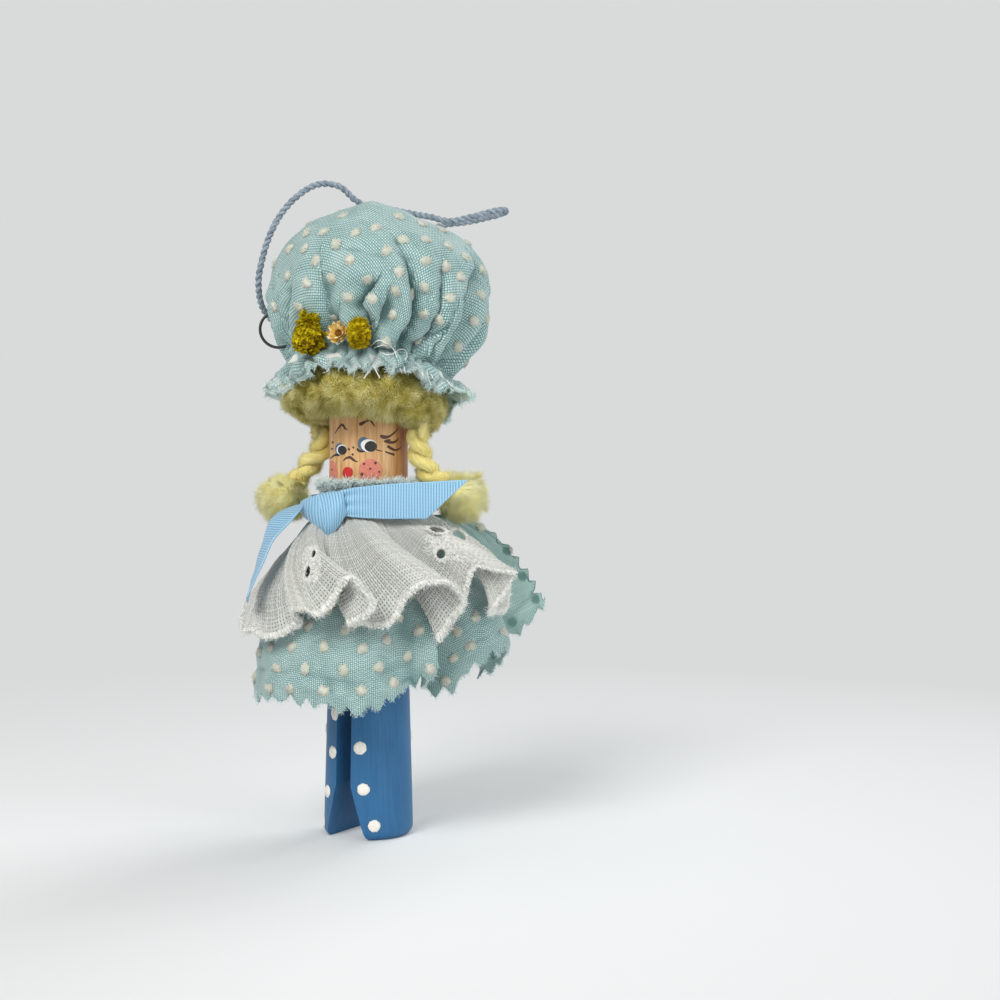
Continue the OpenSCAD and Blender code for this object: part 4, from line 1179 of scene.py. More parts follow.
def ball_flower(node, angle, up, aside, size, count, material, taper):
    """A dried head: crinkled petals that stand out of a lumpy heart, longer upward, with painted light and
    shade by the way they face.
    """
    centre, ahead = middle(node) + UP * up + ASIDE * aside, cap_out(angle)
    d = unit(RNG.normal(size=(count, 3)) * [1, 1, 1.2] + ahead * 0.45)
    d = d * ([1, 1, 1] - np.clip(d[:, 2:], 0, 1) * [taper, taper, -0.15])
    lean = np.cross(d, RNG.normal(size=(count, 3)))
    long = 0.2 + 0.16 * RNG.random(count) + taper * np.clip(d[:, 2], 0, 1) ** 2 * RNG.random(count)
    p, q, attrs = petals(centre + d * size * [0.15, 0.15, 0.24], d, lean, size * long, size * 0.15, 0.35,
                         0.16)
    high = np.clip((p[:, 2:] - centre[2]) / (0.45 * size), -1, 1)
    p = centre + (p - centre) * (1 - high * [taper, taper, 0])
    # Painted light and shade: petals facing up and to the camera's left are lighter, those facing down and
    # right darker
    attrs["tint"] = np.clip(attrs["tint"] - 0.2 * np.repeat(d @ ASIDE - d[:, 2], len(p) // count), 0, 0.9)
    make(node + "_petals", p, [q], material, attrs=attrs, slot="dried_flower")
    core = blob(node + "_heart", centre - UP * size * 0.06, size * np.array([0.3, 0.3, 0.33]), material,
                0.3, 4.0, 10, 16, slot="dried_flower")
    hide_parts(node)


def make_flowers():
    """Two dried heads of many petals and between them a cup of three rings of petals."""
    gold = fibre_material("dried_gold_petal", "5E4A00", "A08600", "D6C41A", 0.7)
    yellow = fibre_material("dried_yellow_petal", "6E5600", "B09400", "DCC81E", 0.7)
    amber = fibre_material("dried_amber_petal", "A8741C", "E6BC5C", "FBEBB4", 0.7)
    ball_flower("flower_left", -3, 0.8, 0.75, 5.9, 800, gold, 0.26)
    ball_flower("flower_right", 29.5, 1.4, 0.1, 4.7, 560, yellow, 0.06)
    centre, ahead = middle("flower_middle") + UP * 1.4 + ASIDE * 0.3, cap_out(16)
    for k, (n, r, size) in enumerate([(12, 1.0, 1.25), (10, 0.8, 1.0), (8, 0.5, 0.75)]):
        d = circle((np.arange(n) + 0.4 * k) * TURN / n, *across(ahead))
        p, q, attrs = petals(centre - ahead * (1.1 - 0.3 * k) + d * 0.35, d * r + ahead * 0.6,
                             ahead * 0.75 + d * 0.45, size * 1.2, 0.8, -0.3, 0.1)
        make("flower_middle_petals_%d" % k, p, [q], amber, attrs=attrs, slot="dried_flower_cup")
    dark = fibre_material("dried_amber_heart", "4A2E08", "7A4C12", "A8742A", 0.8)
    cup = blob("flower_middle_heart", centre - ahead * 0.5, 0.72, dark, 0.3, 2.0, 8, 12,
               slot="dried_flower_cup")
    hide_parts("flower_middle")


make_flowers()


# Face: brush strokes and spots of paint on the wood, from their places in the photograph
def peg_place(px, py, r=BODY_R):
    """Place round and up an upright cylinder that the camera sees through a pixel."""
    d = sight(px, py)
    a, b = d[0] ** 2 + d[1] ** 2, CAMERA[0] * d[0] + CAMERA[1] * d[1]
    c = CAMERA[0] ** 2 + CAMERA[1] ** 2 - r * r
    t = (-b - math.sqrt(max(b * b - a * c, 0))) / a
    p = CAMERA + d * t
    return [math.atan2(p[0], -p[1]) * r, p[2]]


def on_peg(flat, r=BODY_R):
    """Points of the unrolled cylinder (round, up, out of it), rolled up again."""
    a = flat[..., 0] / r
    return np.stack([np.sin(a) * (r + flat[..., 2]), -np.cos(a) * (r + flat[..., 2]), flat[..., 1]], -1)


def face_places(points):
    """Unrolled places of points drawn on the face, 10 to a pixel of the photograph."""
    return np.array([peg_place(320 + x / 10, 412 + y / 10) for x, y in points])


def spot(outline, rise=0.0, dome=0.05):
    """A patch of paint inside a closed outline of unrolled places."""
    outline = np.asarray(outline, float)
    n = len(outline)
    mid = outline.mean(0)
    rings = [(1.0, -0.02), (1.0, 0.4), (0.93, 0.85), (0.8, 1.0), (0.5, 1.0), (0.2, 1.0)]
    p = [np.column_stack([mid + (outline - mid) * s, np.full(n, rise + dome * h)]) for s, h in rings]
    p = np.concatenate(p + [[[mid[0], mid[1], rise + dome]]])
    i = np.arange(n) + (len(rings) - 1) * n
    tris = np.stack([i, np.roll(i, -1), np.full(n, len(p) - 1)], -1)
    return on_peg(p), ring_faces(len(rings), n), tris


def ellipse(x, y, rx, ry, rough=0.03, n=40):
    """An uneven ellipse, drawn on the face."""
    t = np.arange(n) * TURN / n
    w = RNG.normal(size=9)
    k = 1 + rough * np.interp(t, np.linspace(0, TURN, 10), np.append(w, w[0]))
    return face_places(np.column_stack([x + rx * k * np.cos(t), y - ry * k * np.sin(t)]))


def stroke(points, widths, rise=0.02):
    """A brush stroke through places of the face, with its width at each of them, in millimetres."""
    k = np.linspace(0, len(points) - 1, 10 * len(points))
    flat = through(face_places(points), k)
    w = np.interp(k, np.arange(len(points)), widths)
    w[0] *= 0.5
    w[-1] *= 0.4
    line = np.column_stack([flat, np.zeros(len(k))])
    v, q, c = tubes(line[None], (w / 2)[None], 8)
    v[:, 2] = v[:, 2] * 0.22 + rise
    return on_peg(v), q, c


def joined(name, parts, material):
    """Several small pieces of one paint as one object."""
    return make(name, *merged(parts), material)


# Brush strokes: places drawn on the face, and the width at each in millimetres
STROKES = [
    ([(152, 215), (175, 175), (213, 130), (235, 138), (250, 163), (277, 178)],
     [.18, .3, .42, .42, .3, .15]),
    ([(392, 126), (418, 117), (450, 98), (490, 83), (520, 104), (548, 146)], [.5, .6, .4, .35, .3, .16]),
    ([(603, 238), (640, 251), (690, 245), (742, 208), (782, 163)], [.4, .62, .38, .28, .14]),
    ([(638, 292), (688, 302), (742, 302), (787, 266)], [.25, .5, .42, .14]),
    ([(648, 290), (680, 282), (706, 279)], [.3, .35, .2]),
    ([(675, 338), (708, 362), (758, 381), (818, 348)], [.5, .5, .32, .14]),
    ([(650, 397), (700, 414), (744, 428)], [.22, .32, .42]),
    ([(562, 378), (592, 385), (622, 393)], [.24, .2, .16]),
    ([(233, 489), (260, 462), (300, 453), (330, 475), (356, 492), (380, 496)],
     [.14, .32, .46, .46, .26, .12])]
# Dark strokes over and beside the eyes
LIDS = [
    ([(370, 364), (390, 386), (430, 392), (474, 380)], [.3, .42, .36, .2]),
    ([(104, 468), (130, 443), (160, 428), (196, 434)], [.2, .26, .4, .3])]
# Freckles: place drawn on the face, and radius
FRECKLES = [
    (290, 372, 11), (333, 355, 10), (327, 425, 12), (440, 518, 13), (555, 510, 14), (502, 567, 11),
    (590, 597, 11), (420, 622, 16), (520, 648, 10), (123, 577, 8), (147, 655, 9), (128, 303, 10),
    (122, 367, 9)]


def make_face():
    """The painted face; where paints overlap, the later one lies higher."""
    # The left cheek is round the side: a circle at an angle and a height, not drawn from the photograph
    cheek_angle, cheek_z, cheek_r = math.radians(-32), 61.05, 1.95
    t = np.arange(40) * TURN / 40
    left_cheek = [cheek_angle * BODY_R, cheek_z] + np.column_stack([cheek_r * np.cos(t), cheek_r * np.sin(t)])
    joined("face_cheeks", [spot(ellipse(505, 586, 121, 117)), spot(left_cheek)], PAINT["coral"])
    joined("face_mouth", [spot(ellipse(277, 605, 51, 56), 0.0, 0.07)], PAINT["red"])
    joined("face_iris", [spot(ellipse(438, 318, 61, 69)), spot(ellipse(196, 371, 45, 61))],
           PAINT["slate"])
    joined("face_white", [spot(ellipse(488, 335, 79, 64, 0.02), 0.03),
                          spot(ellipse(219, 377, 50, 51), 0.03)], PAINT["white"])
    joined("face_pupils", [spot(ellipse(508, 344, 60, 53), 0.06, 0.08),
                           spot(ellipse(226, 382, 42, 47), 0.06, 0.08)], PAINT["black"])
    freckles = [spot(ellipse(x, y, r, r * 1.05, 0.08, 14), 0.04) for x, y, r in FRECKLES]
    joined("face_strokes", freckles + [stroke(*s) for s in STROKES], PAINT["brown"])
    joined("face_lids", [stroke(*s, 0.03) for s in LIDS], PAINT["black"])


make_face()


# Dots of the legs: angle round the clothespin and height
LEG_DOTS = [
    (24.7, 15.41), (29.3, 8.61), (43, 2.55), (-16.8, 20.74), (-20.5, 14.29), (-32.8, 7.52), (-52, 1.9),
    (136, 16.4), (138, 8.3), (156, 21.5), (158, 13.2), (150, 2.9), (-66, 17.5), (-80, 10.2), (-94, 3.4),
    (-112, 18.6), (-126, 9.4), (-148, 15.2), (-152, 4.5), (-139, 23.5), (-88, 24.4), (-40, 26.5), (22, 29.5)]


def make_leg_dots():
    """Raised blobs of paint on the legs; those behind follow the pattern of those in front."""
    tree = tree_of(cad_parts["clothespin"])
    n = 26
    t = np.arange(n) * TURN / n
    rings = [(1.0, -0.05), (1.0, 0.1), (0.86, 0.2), (0.6, 0.26), (0.25, 0.28), (0.0, 0.28)]
    parts = []
    for a, z in LEG_DOTS:
        size = 1.02 + 0.1 * RNG.random()
        flat = np.column_stack([np.cos(t), np.sin(t)]) * size * (1 + 0.04 * RNG.normal(size=(n, 1)))
        at = around(np.array(float(a))) * (BODY_R + 0.75) + UP * z
        aside = around(np.array(a + 90.0))
        p = []
        for s, h in rings:
            for x in at + flat[:, :1] * s * aside + flat[:, 1:] * s * UP:
                hit, nor = onto(tree, x)
                p.append(hit + unit(nor * [1, 1, 0.2]) * h)
        parts.append((np.array(p), ring_faces(len(rings), n), ()))
    joined("leg_dots", parts, PAINT["dots"])


make_leg_dots()


# Skirt: its reach at a fold's 1.0, and its fall from the collar. Apron: the same, the angle of its ends, its
# radius at the waist, its bulge at the right and the least it stands off the skirt.
SKIRT_REACH, SKIRT_FALL = 20, 35
APRON_REACH, APRON_FALL, APRON_END, APRON_WAIST, APRON_BULGE, APRON_CLEAR = 23, 19, 95, 9.05, 3.7, 1.1
DRESS_CLOTH = 0.34
COLLAR_DROP = 3.8
# Folds, nearly the tables of the CAD source: angle at the collar, angle at the hem, reach, fall and how
# suddenly the fold leaves the waist. The skirt is one strip; its first end comes round the back and stands
# out at the right, where its wrong side shows. The apron's folds are angle at the hem, reach and fall.
SKIRT_FOLDS = [
    [-214, -223, 1.58, 0.54, 1.0], [-211, -219, 1.51, 0.64, 1.0], [-206, -213, 1.38, 0.74, 0.9],
    [-200, -205, 1.22, 0.70, 0.7], [-192, -195, 1.02, 0.55, 0.4], [-183, -182, 0.92, 0.50, 0.1],
    [-175, -172, 0.86, 0.78, 0.0], [-168, -164, 0.82, 0.97, 0.0], [-150, -146, 0.96, 0.98, 0.0],
    [-130, -128, 0.80, 0.99, 0.0], [-108, -107, 0.98, 0.99, 0.0], [-88, -88, 0.84, 1.00, 0.0],
    [-62, -62, 0.97, 1.00, 0.0], [-40, -40, 0.93, 0.98, 0.0], [-15, -15, 1.00, 0.96, 0.0],
    [10, 10, 0.95, 0.97, 0.0], [33, 33, 1.00, 1.00, 0.0], [47, 47, 0.93, 0.94, 0.0],
    [57, 58, 0.90, 0.90, 0.0], [66, 67, 0.97, 0.84, 0.0], [71, 71, 0.96, 0.83, 0.0],
    [73, 74, 0.70, 0.92, 0.0], [80, 81, 0.72, 0.95, 0.0], [86, 87, 0.86, 0.93, 0.0],
    [91, 92, 1.02, 0.83, 0.0], [98, 98, 1.10, 0.80, 0.0], [106, 106, 1.18, 0.76, 0.0],
    [113, 114, 1.19, 0.78, 0.0], [119, 121, 1.10, 0.86, 0.0], [125, 129, 0.94, 0.92, 0.0]]
APRON_FOLDS = [
    [-92, 0.80, 0.98], [-74, 0.87, 0.96], [-54, 0.88, 0.98], [-30, 0.95, 1.15], [-9, 0.92, 1.18],
    [3, 0.85, 1.08], [4, 0.97, 0.94], [17, 1.02, 0.97], [26, 1.07, 0.78], [31, 1.11, 0.66], [38, 1.09, 0.92],
    [28, 0.94, 1.06], [36, 0.93, 1.08], [45, 0.96, 1.04], [50, 1.00, 0.89], [54, 1.07, 0.74],
    [62, 1.10, 0.72], [74, 1.07, 0.88], [68, 0.91, 1.20], [78, 0.92, 1.02], [81, 1.02, 0.66],
    [86, 1.12, 0.62], [95, 1.19, 0.70], [93, 1.02, 1.00], [105, 1.03, 1.01], [112, 1.05, 0.88]]


def skirt_at(k, share):
    """Middle of the skirt's cloth: fold k, and a share of the way from the waist to the hem."""
    f = through(SKIRT_FOLDS, k)
    sudden = np.clip(f[..., 4], 0, 1)
    bell = (1 - sudden) * (1 - (1 - share) ** 2) + sudden * share ** 0.27
    p = around(f[..., 0] + (f[..., 1] - f[..., 0]) * share)
    p = p * (WAIST_R + (f[..., 2] * SKIRT_REACH - WAIST_R) * bell)[..., None]
    p[..., 2] = WAIST_Z + (COLLAR_Z - f[..., 3] * SKIRT_FALL - WAIST_Z) * share
    return p


def skirt_radius(angle, z):
    """Radius of the skirt's cloth at an angle and a height."""
    k = np.linspace(0, len(SKIRT_FOLDS) - 1, 1200)
    f = through(SKIRT_FOLDS, np.interp(angle, through(SKIRT_FOLDS, k)[:, 0], k))
    share = np.clip((WAIST_Z - z) / (WAIST_Z - COLLAR_Z + f[..., 3] * SKIRT_FALL), 0, 1)
    bell = 1 - (1 - share) ** 2
    collar = np.clip((z - WAIST_Z) / COLLAR_DROP, 0, 1)
    return WAIST_R + (f[..., 2] * SKIRT_REACH - WAIST_R) * bell - 0.5 * collar


def shoulder(collar):
    """How much of the apron's bulge at the right an angle at the collar has."""
    return ease(np.clip((collar - 58) / 30, 0, 1))


def apron_collar(k):
    """Angle at the collar of the apron's fold k."""
    return APRON_END * (2 * k / (len(APRON_FOLDS) - 1) - 1)


def apron_at(k, share):
    """Middle of the apron's cloth: fold k, and a share of the way from the waist to the edge."""
    f = through(APRON_FOLDS, k)
    collar = apron_collar(k)
    z = WAIST_Z + (COLLAR_Z - f[..., 2] * APRON_FALL - WAIST_Z) * share
    angle = collar + (f[..., 0] - collar) * share ** 0.7
    full = shoulder(collar)
    bell = 1 - (1 - share) ** (1.25 + 0.75 * full)
    own = APRON_WAIST + (f[..., 1] * APRON_REACH - APRON_WAIST) * bell
    own = own + APRON_BULGE * full * (1 - share) ** 1.3
    clear = skirt_radius(angle, z) + APRON_CLEAR * (1 + 2 * share * (1 - share))
    p = around(angle) * np.maximum(own, clear)[..., None]
    p[..., 2] = z
    return p


def cloth_area(g):
    """Area of a grid of cloth, in square millimetres."""
    a, b = g[1:, :-1] - g[:-1, :-1], g[:-1, 1:] - g[:-1, :-1]
    return norm(np.cross(a, b), axis=-1).sum()


def grid_tree(g):
    """A search tree of a grid of points."""
    faces = grid_faces(*g.shape[:2], False)
    return BVHTree.FromPolygons([Vector(p) for p in g.reshape(-1, 3)], faces.tolist())


def even_folds(at, rows, count):
    """Places between a table's rows at even steps along the hem, and the distance along it."""
    k = np.linspace(0, rows - 1, 6000)
    s = lengths(at(k, np.ones(k.shape)))
    t = np.linspace(0, s[-1], count)
    return np.interp(t, s, k), t


def ragged(name, g, n, length, radius, curl, material, slot, low=True):
    """Frayed ends along the last or the first row of a grid of cloth."""
    edge, inner = (g[:, -1], g[:, -4]) if low else (g[:, 0], g[:, 2])
    k = RNG.integers(0, len(edge) - 1, n)
    out = unit(edge - inner)[k]
    turn = unit(np.roll(edge, -1, 0) - edge)[k]
    return wisps(name, edge[k] - out * 0.2 + jitter(n, 0.06),
                 out + turn * RNG.normal(size=(n, 1)) * 0.6 + jitter(n, 0.2),
                 length * (0.3 + 0.7 * RNG.random(n) ** 2), radius, curl, material, slot, points=5)


SKIRT_DOTS = [
    (309, 626), (346, 630), (386, 640), (272, 648), (293, 647), (325, 647), (363, 649), (407, 656),
    (378, 667), (278, 668), (306, 669), (344, 670), (393, 683), (270, 688), (291, 689), (324, 691),
    (362, 691), (398, 617), (419, 631), (430, 669), (446, 681), (457, 632), (454, 658), (464, 583),
    (470, 646), (475, 617), (491, 657), (502, 632)]


def make_dress():
    """The dress as one grid of cloth: frill, collar and skirt; with its dots, frayed edges and thread."""
    cols = 560
    k, s = even_folds(skirt_at, len(SKIRT_FOLDS), cols)
    share = np.concatenate([0.9 * np.linspace(0, 1, 64) ** 1.6, np.linspace(0.9, 1, 21)[1:]])
    K, S = np.meshgrid(k, share, indexing="ij")
    g = skirt_at(K, S)
    arc = np.broadcast_to(s[:, None], K.shape)
    out = unit(g * [1, 1, 0])
    pleat = np.cos(TURN * arc / 3.1 + 1.5 * np.sin(arc / 9)) * 0.3 * np.exp(-S * 5.5)
    soft = noise3(g, 5.0, 2.0) * 0.8 * S + noise3(g, 2.2, 6.0) * 0.22
    crease = -0.32 * np.exp(-((S - 0.83 - 0.01 * np.sin(arc / 7)) / 0.012) ** 2)
    tooth = 1.45 * np.abs((s / 3.5 + 0.12 * np.sin(s * 0.9)) % 1 * 2 - 1) + 0.22 * np.sin(s * 2.3)
    g = g + out * (pleat + soft + crease)[..., None]
    g[..., 2] += tooth[:, None] * np.clip((S - 0.9) / 0.1, 0, 1)
    # The strip's first end is cut with the same teeth
    cut_cols = 7
    back = unit(g[cut_cols - 1] - g[0]) * (1.5 * np.abs((share * 7.2) % 1 * 2 - 1)
                                           * np.clip(share * 6, 0, 1))[:, None]
    for c in range(cut_cols):
        g[c] += back * (1 - c / cut_cols)
    # Rows above the waist: the frill from its edge down, then the gathered collar
    a = through(SKIRT_FOLDS, k)[:, 0]
    frill = []
    for q in np.linspace(1, 0, 9)[:-1]:
        r = COLLAR_R + (1.2 + 0.4 * sine(a - 20)) * q ** 1.6 + 0.5 * q * sine(a * 24 + 90 * sine(5 * a))
        row = around(a) * r[:, None]
        row[:, 2] = COLLAR_Z + 1.8 * q + q * 0.35 * sine(a * 41) * sine(7 * a)
        frill.append(row)
    for q in (0.66, 0.33):
        row = unit(skirt_at(k, np.zeros(cols)) * [1, 1, 0]) * (COLLAR_R + 0.5 * (1 - q))
        row[:, 2] = COLLAR_Z - COLLAR_DROP * (1 - q)
        frill.append(row)
    offset = len(frill)
    whole = np.concatenate([np.stack(frill, 1), g], 1)
    smooth = np.concatenate([whole[:, :offset], skirt_at(K, S)], 1)
    fall = np.cumsum(norm(np.diff(smooth, axis=1, prepend=smooth[:, :1]), axis=-1), axis=1)
    uv = np.stack([np.broadcast_to(s[:, None], whole.shape[:2]), fall, np.zeros(whole.shape[:2])], -1)
    tree = grid_tree(whole)
    places, sizes = [], []
    for px, py in SKIRT_DOTS:
        hit = seen(tree, px, py)
        if hit and np.dot(hit[1], CAMERA - hit[0]) > 0:
            places.append(hit)
            sizes.append(DOT_SEEN + 0.2 * RNG.random())
    # Dots at an even spacing where the photograph shows none: behind, and under the apron
    nor = grid_normals(whole, False)
    taken = [p for p, _ in places]
    for r, down in enumerate(np.arange(0.12, 0.97, 0.125)):
        for arc in np.arange(2.2 + 3.2 * (r % 2), s[-1] - 1, 6.4):
            i = int(np.argmin(abs(s - arc - 0.4 * RNG.normal())))
            j = offset + int(np.argmin(abs(share - down)))
            at = whole[i, j]
            px, py = photo_place(at)
            shown = np.dot(nor[i, j], CAMERA - at) > 0 and 262 < px < 505 and py > 612
            if shown or min(norm(at - q) for q in taken) < 3.6:
                continue
            places.append((at, nor[i, j]))
            taken.append(at)
            sizes.append(DOT_ADDED + 0.25 * RNG.random())
    # Where the dots show through on the wrong side
    mark = np.zeros(whole.shape[:2])
    for at, _ in places:
        d = norm(whole - at, axis=-1)
        mark = np.maximum(mark, np.clip((1.05 - d) / 0.3, 0, 1))
    piece = shell("dress_cloth", whole, DRESS_CLOTH, [AQUA, AQUA_BACK], uv=uv, attrs={"spot": mark},
                  slot="dotted_cloth")
    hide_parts("dress")
    spots = dots("dress_dots", [(at + out * 0.16, out) for at, out in places], sizes)
    hem = ragged("dress_hem_fray", whole, 3600, 0.9, 0.045, 0.6, FRAY, "dotted_cloth")
    top = ragged("dress_frill_fray", whole, 3600, 0.9, 0.05, 1.2, FLUFF, "dotted_cloth", False)
    n = 5000
    i = RNG.integers(0, cols, n)
    j = RNG.integers(0, 7, n)
    fluff = wisps("dress_frill_fluff", whole[i, j], nor[i, j] + jitter(n, 0.6) + UP * 0.5,
                  0.35 + 0.45 * RNG.random(n), 0.05, 1.2, FLUFF, "dotted_cloth", points=5)
    float(cloth_area(whole)) * 1e-6 * 1.05
    round_neck = around(np.linspace(0, 360, 200)) * 8.05 + UP * COLLAR_Z
    gathering = thread("neck_thread_twisted", round_neck, FRAY, "thread", 0.13, 0.12, 1.2, step=0.3,
                       sides=6, shade=0.5)
    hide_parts("neck_thread")


make_dress()


# Apron: woven of separate threads over a thin grey-aqua sheet of painted shade, the dress in shade as seen
# through the weave, with worked eyelets and a stitched edge. Eyelets are pixels of the photograph and radius,
# those it doesn't show share of the width, thread down and radius; embroidered patches are corners in the
# photograph.
EYELETS = [(437, 530, 1.4), (459, 536, 1.3), (441, 554, 0.85), (314, 554, 0.7), (308, 572, 1.05)]
EMBROIDERED = [[(424, 518), (474, 562)], [(303, 546), (321, 582)]]
HIDDEN_EYELETS = [(0.045, 30, 0.9), (0.06, 26, 0.7), (0.03, 25, 0.7), (0.95, 31, 0.9), (0.97, 26, 0.7)]
THREAD_PITCH = 0.53


def make_apron():
    """The apron's sheet of painted shade, warp and weft, its stitched edge and its eyelets."""
    width = even_folds(apron_at, len(APRON_FOLDS), 9)[1][-1]
    k, s = even_folds(apron_at, len(APRON_FOLDS), int(width / THREAD_PITCH))
    drop = 37
    share = np.linspace(0, 1, drop)
    K, S = np.meshgrid(k, share, indexing="ij")
    g = apron_at(K, S)
    collar = apron_collar(k)
    head = []
    for z, bulge in ((56.9, 0.4), (55.8, 1.7), (54.7, 3.0)):
        r = skirt_radius(collar, np.full(len(k), z)) + APRON_CLEAR + bulge * shoulder(collar)
        row = around(collar) * r[:, None]
        row[:, 2] = z
        head.append(row)
    g = np.concatenate([np.stack(head, 1), g], 1)
    arc = np.broadcast_to(s[:, None], g.shape[:2])
    down = np.concatenate([np.zeros(len(head)), share])
    wave = noise3(g, 3.0, 1.0) * 0.5 * down
    gather = 0.22 * np.cos(TURN * arc / 4.3 + 1.2 * np.sin(arc / 11)) * np.exp(-down * 4)
    g = g + unit(g * [1, 1, 0]) * (wave + gather)[..., None]
    scallop = 0.9 * np.abs(np.sin(math.pi * s / 8.6)) ** 0.8 - 0.3
    g[..., 2] -= scallop[:, None] * np.clip((down - 0.75) / 0.25, 0, 1)
    n, m = g.shape[:2]
    nor = grid_normals(g, False)
    gap = norm(np.gradient(g, axis=0), axis=-1)
    thick = np.clip(gap * 0.36, 0.05, 0.185)
    tree = grid_tree(g)
    holes = []
    for px, py, r in EYELETS:
        hit = seen(tree, px, py)
        if hit:
            holes.append((*hit, r))
    for place, j, r in HIDDEN_EYELETS:
        i = int(place * n)
        holes.append((g[i, j], nor[i, j], r))
    # Warp and weft pass over and under each other in turn
    side = np.where(np.add.outer(np.arange(n), np.arange(m)) % 2 == 0, 1.0, -1.0)[..., None]
    lift = (thick * 0.62)[..., None] * nor * side
    # The sheet under the threads is painted shade, for the dress seen through the weave
    shade_sheet = make("apron_shade_sheet", g.reshape(-1, 3), [grid_faces(n, m, False)], LACE_SHADE_SHEET, slot="lace")
    cut_out(shade_sheet, holes)

    def weave_threads(name, lines, radii):
        v, quads, caps = tubes(lines, radii, 5)
        piece = make(name, v, [quads, caps], LACE, attrs=tint_of(v, len(lines), 0.35, 0.7), slot="lace")
        cut_out(piece, holes)
        return piece

    warp = weave_threads("apron_warp", g + lift, thick)
    weft = weave_threads("apron_weft", np.transpose(g - lift, (1, 0, 2)), thick.T)
    pieces = [warp, weft, stitched_edge(g, nor), worked_eyelets(holes, tree)]
    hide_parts("apron")
    float(cloth_area(g)) * 1e-6 * 1.05


def cut_out(obj, holes):
    """Take the faces of a piece that lie inside the eyelets away."""
    bm = bmesh.new()
    bm.from_mesh(obj.data)
    gone = []
    for f in bm.faces:
        c = np.array(f.calc_center_median()) / MM
        if any(norm(c - at) < r * 1.02 for at, _, r in holes):
            gone.append(f)
    bmesh.ops.delete(bm, geom=gone, context="FACES")
    bm.to_mesh(obj.data)
    bm.free()


def stitches(name, start, end, lift, radius, material, points=5):
    """Short raised threads from start to end, arched over by lift."""
    t = np.linspace(0, 1, points)[None, :, None]
    p = start[:, None] * (1 - t) + end[:, None] * t + lift[:, None] * np.sin(math.pi * t)
    p += RNG.normal(size=p.shape) * 0.035
    v, quads, caps = tubes(p, radius, 5)
    return make(name, v, [quads, caps], material, attrs=tint_of(v, len(p), 0.3, 0.9), slot="lace")


def stitched_edge(g, nor):
    """Stitches over both sides of the scalloped edge, and the fuzz on them."""
    edge, inner = g[:, -1], g[:, -3]
    t = np.linspace(0, len(edge) - 1.001, int(len(edge) * 2.3))
    i = t.astype(int)
    f = (t - i)[:, None]
    e = edge[i] * (1 - f) + edge[i + 1] * f
    inn = inner[i] * (1 - f) + inner[i + 1] * f
    nn = nor[i, -2]
    out = unit(e - inn)
    inn = e + (inn - e) * (0.55 + 0.25 * RNG.random((len(e), 1)))
    start = np.concatenate([inn + nn * 0.1, inn - nn * 0.1])
    end = np.concatenate([e + out * 0.1] * 2)
    lift = np.concatenate([nn * 0.17 + out * 0.1, -nn * 0.17 + out * 0.1])
    piece = stitches("apron_edge_stitches", start, end + RNG.normal(size=end.shape) * 0.14, lift, 0.15,
                     WHITE_THREAD)
    n = 9000
    k = RNG.integers(0, len(e), n)
    root = e[k] + jitter(n, 0.16) - out[k] * RNG.random((n, 1)) * 1.0
    along = out[k] * 0.8 + nn[k] * RNG.choice([-1, 1], (n, 1)) * 0.9 + jitter(n, 0.6)
    wisps("apron_edge_fuzz", root, along, 0.25 + 0.65 * RNG.random(n) ** 2, 0.045, 1.0, WHITE_THREAD, "lace",
          points=5)
    return piece


def worked_eyelets(holes, tree):
    """Satin stitch worked round each hole on both sides, and filling stitches beside the holes."""
    count = 64
    start, end, lift = [], [], []
    for at, nor, r in holes:
        d = circle(np.arange(count) * TURN / count, *across(nor))
        for sign in (1, -1):
            start.append(at + d * (r * 0.93) + nor * 0.03 * sign)
            end.append(at + d * (r + 0.35 + 0.5 * RNG.random((count, 1))) + nor * 0.06 * sign)
            lift.append(np.broadcast_to(nor * 0.12 * sign, d.shape))
    # Filling stitches of the embroidery, inside ovals of the photograph
    for corners in EMBROIDERED:
        low, high = np.min(corners, 0), np.max(corners, 0)
        for px, py in low + RNG.random((520, 2)) * (high - low):
            if norm(2 * (np.array([px, py]) - low) / (high - low) - 1) > 1.1:
                continue
            hit = seen(tree, px, py)
            if hit is None or min(norm(hit[0] - h[0]) - h[2] for h in holes) < 0.3:
                continue
            near = min(holes, key=lambda h: norm(hit[0] - h[0]))
            ahead = unit(unit(hit[0] - near[0]) + RNG.normal(size=3) * 0.45)
            half = (ahead - hit[1] * (ahead * hit[1]).sum()) * 0.42
            start.append((hit[0] - half)[None])
            end.append((hit[0] + half)[None])
            lift.append((hit[1] * 0.16)[None])
    return stitches("apron_eyelet_stitches", np.concatenate(start), np.concatenate(end),
                    np.concatenate(lift), 0.08, EYELET_THREAD)


make_apron()


# Ribbon: ribs run across it, between two narrow woven edges
RIB = 0.45
RIBBON_CLOTH = 0.34


